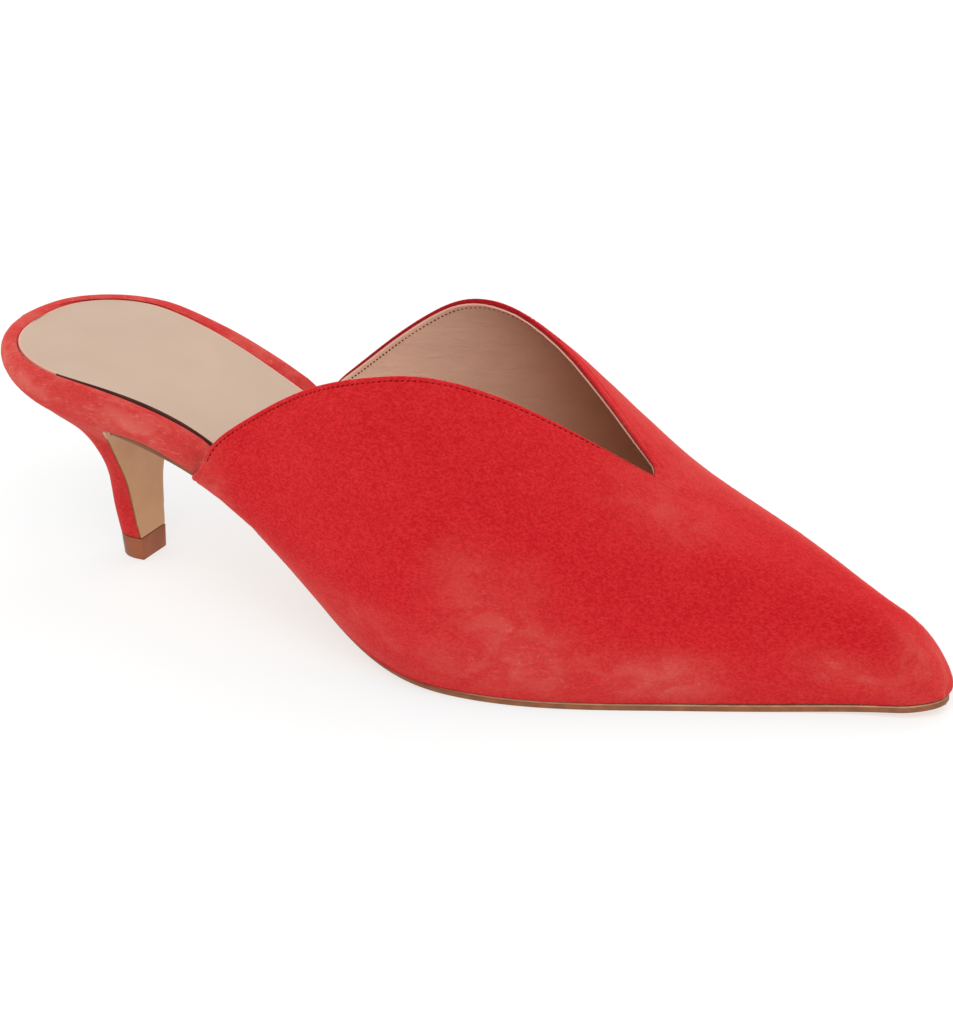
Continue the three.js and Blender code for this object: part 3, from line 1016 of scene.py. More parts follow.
@dataclass
class Upper:
    """Suede outside with its folded topline, the lining inside it, and the seams of both."""

    last: Last
    build: Builder
    finishes: Finishes
    suede: float = 0.5 * MM
    lining: float = 0.42 * MM
    fold: float = 0.62 * MM
    edge_out: float = 0.25 * MM
    margin: float = 4 * MM
    point_mitre: float = 1.8
    point_width: float = 0.06
    lining_set: float = 0.4 * MM
    stitch_set: float = 1.25 * MM
    pitch: float = 1.45 * MM
    thread: float = 0.19 * MM
    thread_flat: float = 0.8
    stitch_tilt: float = 0.12
    groove: float = 0.16 * MM
    groove_width: float = 0.25 * MM
    puff: float = 0.05 * MM
    puff_set: float = 2 * MM
    puff_width: float = 0.5 * MM
    columns: int = 200
    margin_rows: int = 5
    fold_rows: int = 9
    body_rows: int = 130
    cap_rows: int = 12
    turned_rows: int = 9
    under_columns: int = 3
    even_share: float = 0.2
    feather_trim: float = 0.0006
    lining_columns: int = 120
    lining_edge_rows: int = 7
    lining_edge_pitch: float = 0.45 * MM
    lining_rows: int = 90
    lining_trim: float = 0.03
    wrinkle: float = 0.03 * MM
    suede_waves: tuple[Wave, ...] = ((0.1 * MM, 9 * MM), (0.05 * MM, 1.3 * MM))
    lining_wave: Wave = (0.12 * MM, 7 * MM)
    seams: tuple[Seam, ...] = (
        Seam("outer_stitches", (0.13, 0.47), stitch_set, 0.1 * MM, 0.95 * MM, 1),
        Seam("inner_stitches", (0.62, 0.93), stitch_set, 0.1 * MM, 0.95 * MM, 1),
        Seam("lining_stitches", (0.07, 0.93), 1.5 * MM, Last.wall, 0.8 * MM, -1),
    )
    tucks: tuple[tuple[float, float], ...] = ((3.0, 0.0), (1.2, 0.0), (0.3, 0.05), (0.1, 0.55))
    insets: tuple[float, ...] = (
        0.75, 0.9, 1.05, 1.25, 1.45, 1.7, 2.0, 2.4, 3.0, 3.6, 4.4, 5.4, 6.6,
    )
    patches: tuple[Patch, ...] = (
        Patch(0.92, 0.1, 0.04, 0.06, 0.5),
        Patch(0.77, 0.05, 0.05, 0.04, 0.6),
        Patch(0.66, 0.06, 0.05, 0.04, 0.4),
        Patch(0.62, 0.12, 0.06, 0.08, 0.35),
        Patch(0.74, 0.42, 0.05, 0.08, 0.3),
        Patch(0.7, 0.6, 0.12, 0.1, 0.2),
        Patch(0.29, 0.08, 0.025, 0.08, 0.45),
        Patch(0.99, 0.4, 0.03, 0.5, 0.4),
        Patch(0.5, 0.02, 0.3, 0.02, 0.25),
        Patch(0.86, 0.35, 0.05, 0.05, -0.3),
        Patch(0.48, 0.25, 0.12, 0.12, -0.3),
    )
    creases: tuple[Crease, ...] = (
        Crease((0.278, 0.05), (0.315, 0.115), 0.9 * MM, 0.5 * MM),
        Crease((0.302, 0.11), (0.325, 0.17), 0.8 * MM, 0.45 * MM),
        Crease((0.312, 0.1), (0.342, 0.15), 0.8 * MM, 0.4 * MM),
        Crease((0.29, 0.03), (0.34, 0.075), 1.0 * MM, 0.45 * MM),
        Crease((0.325, 0.13), (0.345, 0.2), 0.8 * MM, 0.35 * MM),
        Crease((0.3, 0.01), (0.36, 0.035), 1.2 * MM, 0.35 * MM),
    )

    def rounds(self, shares: Array) -> Array:
        """Shares round the upper, closer together towards the feather lines."""
        even = self.even_share
        return even * shares + (1 - even) * (1 - np.cos(np.pi * shares)) / 2

    def rows(self) -> Array:
        """Rows from the turned margin over the fold to the toe: inset, depth and way to the toe.

        Returns:
            One row of three numbers for each row of the grid.
        """
        insets = np.linspace(self.margin, self.fold, self.margin_rows)
        rows = [(inset, 2 * self.fold, 0.0) for inset in insets]
        for angle in np.linspace(np.pi, 0, self.fold_rows)[1:-1]:
            rows.append((self.fold * (1 - np.sin(angle)), self.fold * (1 - np.cos(angle)), 0.0))
        rows.append((self.fold, 0.0, 0.0))
        rows.extend((inset * MM, 0.0, 0.0) for inset in self.insets)
        last_inset = self.insets[-1] * MM
        rows.extend((last_inset, 0.0, k / self.body_rows) for k in range(1, self.body_rows + 1))
        rows.extend((last_inset, 0.0, 1 + k / self.cap_rows) for k in range(1, self.cap_rows + 1))
        return np.array(rows)

    def along(self, turn: Array, inset: Array, onward: Array) -> Array:
        """Shares along the sole of places an inset inside the topline, then on towards the toe.

        At the point of the V the inset stays short, so that fold and seam close right below it.

        Args:
            turn: Shares round the upper.
            inset: Ways inside the topline in metres.
            onward: Shares of the way on to the cavity's end, and over 1 from there to the tip.

        Returns:
            The shares along the sole.
        """
        mitre = 1 / self.last.topline_sine(turn)
        point = hill(turn, 0.5, self.point_width)
        mitre = mitre + (np.minimum(mitre, self.point_mitre) - mitre) * point
        edge = inset - self.edge_out * np.exp(-np.maximum(inset, 0) / (2 * self.fold))
        start = self.last.topline(turn) + edge * mitre / self.last.length
        end = self.last.cavity_end
        body = start + (end - start) * np.clip(onward, 0, 1)
        cap = end + (1 - end) * np.sin(np.pi / 2 * np.clip(onward - 1, 0, 1))
        return np.where(onward > 1, cap, body)

    def relief(self, at: Array, turn: Array, inset: Array, onward: Array) -> Array:
        """Height of the suede's own relief: creases, the seam's groove and the puff beside it.

        Args:
            at: Shares along the sole.
            turn: Shares round the upper.
            inset: Ways inside the topline in metres.
            onward: Shares of the way on to the toe.

        Returns:
            The heights in metres, below 0 in a groove.
        """
        height = -sum(crease.drop(at, turn) for crease in self.creases)
        groove = self.groove * hill(inset, self.stitch_set, self.groove_width)
        puff = self.puff * hill(inset, self.puff_set, self.puff_width)
        return height + np.where(onward > 0, 0, puff - groove)

    def place_suede(self, rows: Array) -> Place:
        """Function that places the suede's grid.

        Args:
            rows: Inset, depth and way to the toe of each row of the grid.

        Returns:
            A function from pairs of shares to points in the last's frame.
        """
        count = len(self.tucks)

        def place(first: Array, second: Array) -> Array:
            """Points of the suede, with its edges turned in.

            Args:
                first: First shares.
                second: Second shares.

            Returns:
                One point in each row, in the last's frame.
            """
            row = rows[np.rint(first * (len(rows) - 1)).astype(int)]
            column = np.rint(second * (self.columns + 2 * count)).astype(int) - count
            turn = self.rounds(np.clip(column / self.columns, 0, 1))
            turn = np.clip(turn, self.feather_trim, 1 - self.feather_trim)
            inset, depth, onward = row.T
            at = self.along(turn, inset, onward)
            normal = self.last.normal(at, turn)
            spots = self.last.outer(at, turn)
            lift = np.where(depth > 0, 0, self.relief(at, turn, inset, onward))
            spots += normal * (lift - depth)[:, None]
            rough = ruffle(spots, normal, *self.suede_waves)
            spots = np.where((depth <= 0)[:, None], rough, spots)
            cap = self.last.toe_cap(at * self.last.length, self.last.toe_radius)
            spots[:, 1] = np.where(cap <= 1e-6, 0, spots[:, 1])
            return self.tuck_in(spots, normal, column)

        return place

    def tuck_in(self, spots: Array, normal: Array, column: Array) -> Array:
        """Turns the outermost columns in under the last.

        Args:
            spots: Points on the surface; those of the outermost columns lie on the feather line.
            normal: Outward normals at the points.
            column: Numbers of the columns, below 0 or above the count where they turn in.

        Returns:
            The points with the turned edge.
        """
        beyond = np.maximum(-column, column - self.columns)
        for k, (inward, up) in enumerate(self.tucks):
            here = beyond == len(self.tucks) - k
            spots[here] -= unit(normal[here] * [1, 1, 0]) * inward * MM
            spots[here, 2] = self.last.feather_height(spots[here, 0]) + up * MM
        return spots

    def brush(self, piece: bpy.types.Object) -> None:
        """Writes where the nap is brushed, from the patches.

        Args:
            piece: The suede's piece.
        """
        spots = self.build.spots(piece)
        at = spots[:, 0] / self.last.length
        rise = spots[:, 2] - self.last.feather_height(spots[:, 0])
        crest = self.last.crest(spots[:, 0]) + 1e-6
        lift = np.clip(rise / crest, 0, 1) ** (1 / SECTION.read("fullness", at))
        turn = np.arcsin(lift) / np.pi
        turn = np.where(spots[:, 1] > 0, 1 - turn, turn)
        write_brush(piece, sum(patch.spread(at, turn) for patch in self.patches))

    def make_suede(self) -> None:
        """The suede outside; its turned margins and the edge tucked under the last take a darker
        suede, painted shade for the fold and the tuck.
        """
        rows = self.rows()
        across = self.columns + 2 * len(self.tucks)
        mesh = self.build.grid(len(rows) - 1, across, self.place_suede(rows))
        layer = mesh.loops.layers.uv["shares"]
        turned_shaded = self.turned_rows / (len(rows) - 1)
        under = self.under_columns / across
        # Turned margin and tucked edge take the darker suede, which is painted shade.
        for face in mesh.faces:
            first, second = np.mean([loop[layer].uv for loop in face.loops], axis=0)
            face.material_index = int(first < turned_shaded or not under < second < 1 - under)
        materials = [self.finishes.suede, self.finishes.turned_shaded]
        piece = self.build.finish("upper_suede", mesh, materials, Slot.SUEDE, ["upper"], 60)
        self.brush(piece)
        add_wall(piece, self.suede)

    def make_lining(self) -> None:
        """The lining, whose cut edge shows a little below the fold."""
        insets = self.lining_set + self.lining_edge_pitch * np.arange(self.lining_edge_rows + 1)
        rows = [(inset, 0.0) for inset in insets]
        onward = (np.arange(1, self.lining_rows + 1) / self.lining_rows) ** 1.1
        rows = np.array(rows + [(insets[-1], share) for share in onward])

        def place(first: Array, second: Array) -> Array:
            """Points of the lining's outer face, with its faint wrinkles.

            Args:
                first: First shares.
                second: Second shares.

            Returns:
                One point in each row, in the last's frame.
            """
            row = rows[np.rint(first * (len(rows) - 1)).astype(int)]
            turn = np.clip(self.rounds(second), self.lining_trim, 1 - self.lining_trim)
            at = self.along(turn, row[:, 0], row[:, 1])
            normal = self.last.normal(at, turn)
            spots = self.last.outer(at, turn) - normal * (self.last.wall - self.lining)
            wave = np.sin(at * 170 + turn * 45 + 2 * np.sin(turn * 23)) * smooth(row[:, 1], 0, 0.2)
            spots -= normal * (self.wrinkle * wave)[:, None]
            return ruffle(spots, normal, self.lining_wave)

        mesh = self.build.grid(len(rows) - 1, self.lining_columns, place)
        materials = [self.finishes.lining, self.finishes.sock_edge]
        piece = self.build.finish("upper_lining", mesh, materials, Slot.SOCK)
        add_wall(piece, self.lining, rim=1)

    def seam_spots(self, seam: Seam, count: int = 3000) -> tuple[Array, Array]:
        """Middle points of a seam's stitches, and their outward normals.

        Args:
            seam: The seam.
            count: Points of the line along which the pitch is measured.

        Returns:
            Points at an even pitch along the seam, and a normal for each.
        """
        turn = np.linspace(*seam.ends, count)
        at = self.along(turn, np.full(count, seam.inset), np.zeros(count))
        normal = self.last.normal(at, turn)
        line = self.last.outer(at, turn) - normal * seam.depth
        way = np.concatenate([[0], np.cumsum(np.linalg.norm(np.diff(line, axis=0), axis=1))])
        marks = np.arange(self.pitch / 2, way[-1], self.pitch)
        spots = np.stack([np.interp(marks, way, line[:, k]) for k in range(3)], axis=1)
        facing = np.stack([np.interp(marks, way, normal[:, k]) for k in range(3)], axis=1)
        return spots, unit(facing)

    def make_stitches(self, seam: Seam) -> None:
        """One seam of short stitches.

        Args:
            seam: The seam.
        """
        spots, normals = self.seam_spots(seam)
        ways = unit(np.gradient(spots, axis=0))
        tilt = Matrix.Rotation(seam.outward * self.stitch_tilt, 4, "Z")
        scale = Matrix.Diagonal((seam.long / 2, self.thread, self.thread * self.thread_flat, 1))
        mesh = bmesh.new()
        for spot, normal, way in zip(spots + self.build.shift, normals, ways):
            turn = Matrix([way, np.cross(normal, way), normal]).transposed().to_4x4()
            matrix = Matrix.Translation(spot) @ turn @ tilt @ scale
            bmesh.ops.create_uvsphere(mesh, u_segments=8, v_segments=6, radius=1, matrix=matrix)
        turn_outward(mesh)
        self.build.finish(seam.name, mesh, [self.finishes.thread], Slot.SUEDE)

    def make(self) -> None:
        """Makes the upper's pieces."""
        self.make_suede()
        self.make_lining()
        for seam in self.seams:
            self.make_stitches(seam)


@dataclass(frozen=True)
class Outline:
    """Plan outline inside the feather line, from end to end, walked once round.

    The walk starts on the spine at the back, goes along the outer side to the toe and comes back
    along the inner side. A blunt back is walked from the spine to the corner first.
    """

    last: Last
    start: float
    end: float
    inset: Callable[[Array, Array], Array]
    start_radius: float = 0.0
    end_radius: float = 9 * MM
    back_power: float = 0.5
    blunt: float = 0.06
    step: float = 0.002

    def walk(self, share: Array) -> tuple[Array, Array]:
        """Points of the outline.

        Args:
            share: Shares of the walk, 0 to 1.

        Returns:
            Places along and across the sole, in metres.
        """
        side = np.where(share <= 0.5, -1, 1)
        way = 1 - np.abs(2 * share - 1)
        straight = self.blunt if self.start_radius == 0 else 0.0
        along = np.clip((way - straight) / (1 - straight), 0, 1)
        even = (1 - np.cos(np.pi * along)) / 2
        x = self.start + (self.end - self.start) * even
        back = np.clip(1 - (x - self.start) / max(self.start_radius, 1e-9), 0, 1)
        back = back if self.start_radius > 0 else np.zeros_like(x)
        front = np.clip((x - self.end + self.end_radius) / self.end_radius, 0, 1)
        half = self.last.feather_half(x, side) - self.inset(x, side)
        half = half * (1 - back * back) ** self.back_power * np.sqrt(1 - front * front)
        if straight:
            half = half * np.clip(way / straight, 0, 1)
        return x, side * half

    def ring(self, share: Array, out: Array, inward: Array) -> tuple[Array, Array]:
        """Points moved square to the outline, or in towards the spine.

        Args:
            share: Shares of the walk.
            out: How far each point moves out, in metres.
            inward: Share of the way from the outline to the spine.

        Returns:
            Places along and across the sole, in metres.
        """
        x, y = self.walk(share)
        x_next, y_next = self.walk((share + self.step) % 1)
        x_last, y_last = self.walk((share - self.step) % 1)
        along = unit(np.stack([x_next - x_last, y_next - y_last], axis=1))
        x = x + along[:, 1] * out * (1 - inward)
        y = y - along[:, 0] * out
        return x, y * (1 - inward)


@dataclass
class Underfoot:
    """The soft seat wrapped in suede, the sock on it and the outsole under it."""

    last: Last
    build: Builder
    finishes: Finishes
    band_height: float = 8.3 * MM
    band_bulge: float = 1.9 * MM
    band_tuck: float = 2.6 * MM
    board: float = 2.6 * MM
    rim_least: float = 0.25 * MM
    seat_fade: float = 4 * MM
    seat_reach: float = 2.5 * MM
    inner_bulge: float = 1.6
    inner_crown: float = 0.7 * MM
    cushion_fade: float = 60 * MM
    sock: float = 1.1 * MM
    sock_set_back: float = 4.3 * MM
    sock_radius: float = 24 * MM
    sock_power: float = 0.393
    board_toe_room: float = 1.5 * MM
    sock_toe_room: float = 2 * MM
    sock_lift: float = 0.9 * MM
    edge_round: float = 0.3 * MM
    sole_set: float = 0.25 * MM
    band_middle: float = 90 * MM
    band_rings: int = 25
    band_waves: tuple[Wave, ...] = ((0.22 * MM, 11 * MM), (0.07 * MM, 1.4 * MM))
    shadow_start: float = 26 * MM
    raw_start: float = 95 * MM
    around: int = 360

    @property
    def flap_base(self) -> float:
        """Place where the outer flap meets the sole, in metres."""
        return float(self.last.topline(np.zeros(1))[0]) * self.last.length

    def open_seat(self, x: Array, y: Array) -> Array:
        """1 on the open seat and 0 inside the upper, whose flaps start apart on the two sides."""
        flap = self.last.topline(np.where(y < 0, 0.0, 1.0)) * self.last.length
        share = np.clip((flap + self.seat_reach - x) / self.seat_fade, 0, 1)
        return share * share * (3 - 2 * share)

    def floor(self, x: Array) -> Array:
        """Height of the board's top under the sock."""
        cushion = 1 - smooth(x, self.flap_base, self.flap_base + self.cushion_fade)
        seat = self.band_height - self.sock - self.last.gap
        return self.last.feather_height(x) + self.board + (seat - self.board) * cushion

    def top(self, x: Array, y: Array) -> Array:
        """Height of the rim round the sock."""
        deep = self.sock + self.last.gap
        return self.floor(x) + self.rim_least + (deep - self.rim_least) * self.open_seat(x, y)

    def sock_outline(self, grow: float) -> Outline:
        """Outline of the sock, grown by a clearance.

        Args:
            grow: The clearance in metres.

        Returns:
            The outline.
        """
        width = self.last.ball_width

        def inset(x: Array, side: Array) -> Array:
            """Way in from the feather line.

            Args:
                x: Places along the sole in metres.
                side: -1 for the outer side and 1 for the inner one.

            Returns:
                The ways in metres.
            """
            at = x / self.last.length
            lateral = SOCK_INSET.read("lateral", at)
            medial = SOCK_INSET.read("medial", at)
            return width * np.where(side < 0, lateral, medial) - grow

        end = self.last.cavity_end * self.last.length - self.board_toe_room - self.sock_toe_room
        return Outline(
            self.last,
            self.sock_set_back - grow,
            end + grow,
            inset,
            self.sock_radius,
            self.last.toe_radius,
            self.sock_power,
        )

    def solid(
        self,
        levels: Sequence[Ring],
        materials: Callable[[float], int] | None = None,
    ) -> bmesh.types.BMesh:
        """Closed solid of rings, the first and last of which lie flat on the spine.

        Args:
            levels: For each ring, a function from shares of the walk to points in rows.
            materials: Gives a face's material number for its share of the levels.

        Returns:
            The solid.
        """
        count = len(levels) - 1

        def place(first: Array, second: Array) -> Array:
            """Points of the rings, each shared out over its level.

            Args:
                first: First shares.
                second: Second shares.

            Returns:
                One point in each row, in the last's frame.
            """
            level = np.rint(second * count).astype(int)
            spots = np.zeros((len(first), 3))
            for k, ring in enumerate(levels):
                here = level == k
                spots[here] = ring(first[here])
            return spots

        mesh = self.build.grid(self.around, count, place)
        if materials:
            layer = mesh.loops.layers.uv["shares"]
            for face in mesh.faces:
                share = sum(loop[layer].uv[1] for loop in face.loops) / len(face.loops)
                face.material_index = materials(share * count)
        return mesh

    def make_seat(self) -> None:
        """The seat: suede wrapped round foam and board, with a recess for the sock."""
        inside = self.last.wall + self.last.gap
        outline = Outline(
            self.last,
            0.0,
            self.last.cavity_end * self.last.length - self.board_toe_room,
            lambda x, side: inside * (1 - self.open_seat(x, side)),
            self.last.seat_radius,
            self.last.toe_radius,
        )
        recess = self.sock_outline(self.last.gap)

        def side(step: float) -> Ring:
            """Ring of the soft band at one step of its profile.

            Args:
                step: Step of the profile.

            Returns:
                A function from shares of the walk to points in rows.
            """
            names = ("up", "bulge", "tuck", "hang", "crown")
            up, bulge, tuck, hang, crown = (BAND_PROFILE.read(name, step) for name in names)

            def ring(share: Array) -> Array:
                """Points of the ring.

                Args:
                    share: Shares of the walk.

                Returns:
                    One point in each row, in the last's frame.
                """
                plain, side_way = outline.walk(share)
                swell = bulge * self.band_bulge * np.where(side_way > 0, self.inner_bulge, 1)
                seat = self.open_seat(plain, side_way)
                out = (swell - tuck * self.band_tuck) * seat
                x, y = outline.ring(share, out, 0)
                low = self.last.feather_height(x)
                drop = hang * HANG.read("drop", plain / self.last.length) * MM * seat
                rise = crown * self.inner_crown * smooth(side_way, 0, 18 * MM) * seat
                height = low + (self.top(plain, side_way) - low) * up - drop + rise
                slope = np.full_like(x, 5 * MM * (up - 0.4))
                facing = unit(np.stack([x - self.band_middle, 3 * y, slope], axis=1))
                return ruffle(np.stack([x, y, height], axis=1), facing, *self.band_waves)

            return ring

        def under(inward: float) -> Ring:
            """Ring of the flat underside, drawn in towards the spine.

            Args:
                inward: Share of the way from the outline to the spine.

            Returns:
                A function from shares of the walk to points in rows.
            """

            def ring(share: Array) -> Array:
                """Points of the ring.

                Args:
                    share: Shares of the walk.

                Returns:
                    One point in each row, in the last's frame.
                """
                plain, side_way = outline.walk(share)
                tuck = self.band_tuck * self.open_seat(plain, side_way)
                x, y = outline.ring(share, -tuck, inward)
                return np.stack([x, y, self.last.feather_height(x)], axis=1)

            return ring

        def hollow(grow: float, drop: float, inward: float) -> Ring:
            """Ring of the recess for the sock, from its rim down to its floor.

            Args:
                grow: Way out from the recess's outline in metres.
                drop: Share of the way from the rim to the floor.
                inward: Share of the way from the outline to the spine.

            Returns:
                A function from shares of the walk to points in rows.
            """

            def ring(share: Array) -> Array:
                """Points of the ring.

                Args:
                    share: Shares of the walk.

                Returns:
                    One point in each row, in the last's frame.
                """
                x, y = recess.ring(share, grow, inward)
                rim = self.top(x, y)
                return np.stack([x, y, rim - drop * (rim - self.floor(x))], axis=1)

            return ring

        steps = np.linspace(0, BAND_PROFILE.values[-1, 0], self.band_rings)
        levels = [under(1.0), under(0.5)]
        levels += [side(step) for step in steps]
        levels += [hollow(0.35 * MM, 0.05, 0), hollow(0.05 * MM, 0.2, 0), hollow(0, 1, 0)]
        levels += [hollow(0, 1, 0.5), hollow(0, 1, 1)]
        mesh = self.solid(levels)
        materials = [self.finishes.suede]
        piece = self.build.finish("seat_wrap", mesh, materials, Slot.SUEDE, ["footbed"], 50)
        spots = self.build.spots(piece)
        # Brushed nap over the whole band, lighter in a streak at about 0.6 of its height: partly
        # brushed streaks, partly a painted highlight on the band's upper bulge.
        up = (spots[:, 2] - self.last.feather_height(spots[:, 0])) / self.band_height
        highlight_streak = hill(up, 0.6, 0.25) * (0.7 + 0.3 * np.sin(spots[:, 0] * 160))
        write_brush(piece, 0.55 + 0.4 * highlight_streak)

    def make_sock(self) -> None:
        """The sock: smooth leather with a cut edge, lifted a little along the outer side, where its
        edge is painted dark brown as the shadow of the gap under it.
        """
        outline = self.sock_outline(0)

        def lift(x: Array, y: Array) -> Array:
            """How far the sock stands off the board along the outer side."""
            along = smooth(x, 20 * MM, 58 * MM) * (1 - 0.6 * smooth(x, 58 * MM, 74 * MM))
            return self.sock_lift * along * smooth(-y, 8 * MM, 24 * MM)

        def level(up: float, set_in: float, inward: float) -> Ring:
            """Ring at a height over the board, set in from the outline.

            Args:
                up: Height over the board in metres.
                set_in: Way in from the outline in metres.
                inward: Share of the way from the outline to the spine.

            Returns:
                A function from shares of the walk to points in rows.
            """

            def ring(share: Array) -> Array:
                """Points of the ring.

                Args:
                    share: Shares of the walk.

                Returns:
                    One point in each row, in the last's frame.
                """
                x, y = outline.ring(share, -set_in, inward)
                return np.stack([x, y, self.floor(x) + self.last.gap + up + lift(x, y)], axis=1)

            return ring

        top = self.sock
        soft = self.edge_round
        rings = [(0, 0, inward) for inward in (1, 0.5, 0.1, 0)]
        rings += [(top - soft, 0, 0), (top - 0.3 * soft, 0.3 * soft, 0), (top, soft, 0)]
        rings += [(top, 2 * soft, inward) for inward in (0, 0.06, 0.14, 0.25, 0.4, 0.6, 0.8, 1)]
        mesh = self.solid([level(*ring) for ring in rings], lambda step: 1 if 3 <= step < 7 else 0)
        # Edge faces on the outer side, past the start, take the dark edge: painted shadow of the
        # gap under the lifted sock.
        for face in mesh.faces:
            spot = Vector(face.calc_center_median()) - Vector(self.build.shift)
            if face.material_index == 1 and spot.y < 0 and spot.x > self.shadow_start:
                face.material_index = 2 if face.normal.z < 0.5 else 0
        materials = [self.finishes.sock, self.finishes.sock_edge, self.finishes.shadow_edge]
        self.build.finish("sock_leather", mesh, materials, Slot.SOCK, ["sock"], 50)

    def make_outsole(self) -> None:
        """The outsole: thin leather with a painted edge and a paler line along its top."""
        width = self.last.ball_width
        outline = Outline(
            self.last,
            self.last.breast_length + self.last.gap,
            self.last.length,
            lambda x, side: width * SOLE_INSET.read("inset", x / self.last.length),
            0.0,
            self.last.toe_radius,
        )

        def level(drop: float, set_in: float, inward: float) -> Ring:
            """Ring at a drop under the feather line, set in from the outline.

            Args:
                drop: Depth under the sole's top in metres.
                set_in: Way in from the outline in metres.
                inward: Share of the way from the outline to the spine.

            Returns:
                A function from shares of the walk to points in rows.
            """

            def ring(share: Array) -> Array:
                """Points of the ring.

                Args:
                    share: Shares of the walk.

                Returns:
                    One point in each row, in the last's frame.
                """
                x, y = outline.ring(share, -set_in, inward)
                return np.stack([x, y, self.last.feather_height(x) - self.last.gap - drop], axis=1)

            return ring

        deep = self.last.outsole
        rings = [(deep, 0.35 * MM, inward) for inward in (1, 0.5, 0.1, 0)]
        rings += [(deep - 0.08 * MM, 0.14 * MM, 0), (deep - 0.25 * MM, 0.03 * MM, 0)]
        rings += [(deep * 0.55, 0, 0), (0.42 * MM, 0.02 * MM, 0), (0.38 * MM, 0.05 * MM, 0)]
        rings += [(0.08 * MM, 0.1 * MM, 0)]
        rings += [(0, self.sole_set, inward) for inward in (0, 0.5, 1)]

        def material(step: float) -> int:
            """0 for the underside, 1 for the painted edge and 2 for the raw line over it."""
            if step < 3:
                return 0
            return 1 if step < 8 else 2

        mesh = self.solid([level(*ring) for ring in rings], material)
        raw_start = self.raw_start + self.build.shift[0]
        for face in mesh.faces:
            if face.material_index == 2 and face.calc_center_median().x < raw_start:
                face.material_index = 1
        materials = [self.finishes.tan, self.finishes.paint, self.finishes.raw_edge]
        self.build.finish("outsole_leather", mesh, materials, Slot.SOLE, ["outsole"], 50)

    def make(self) -> None:
        """Makes the pieces under the foot."""
        self.make_seat()
        self.make_sock()
        self.make_outsole()


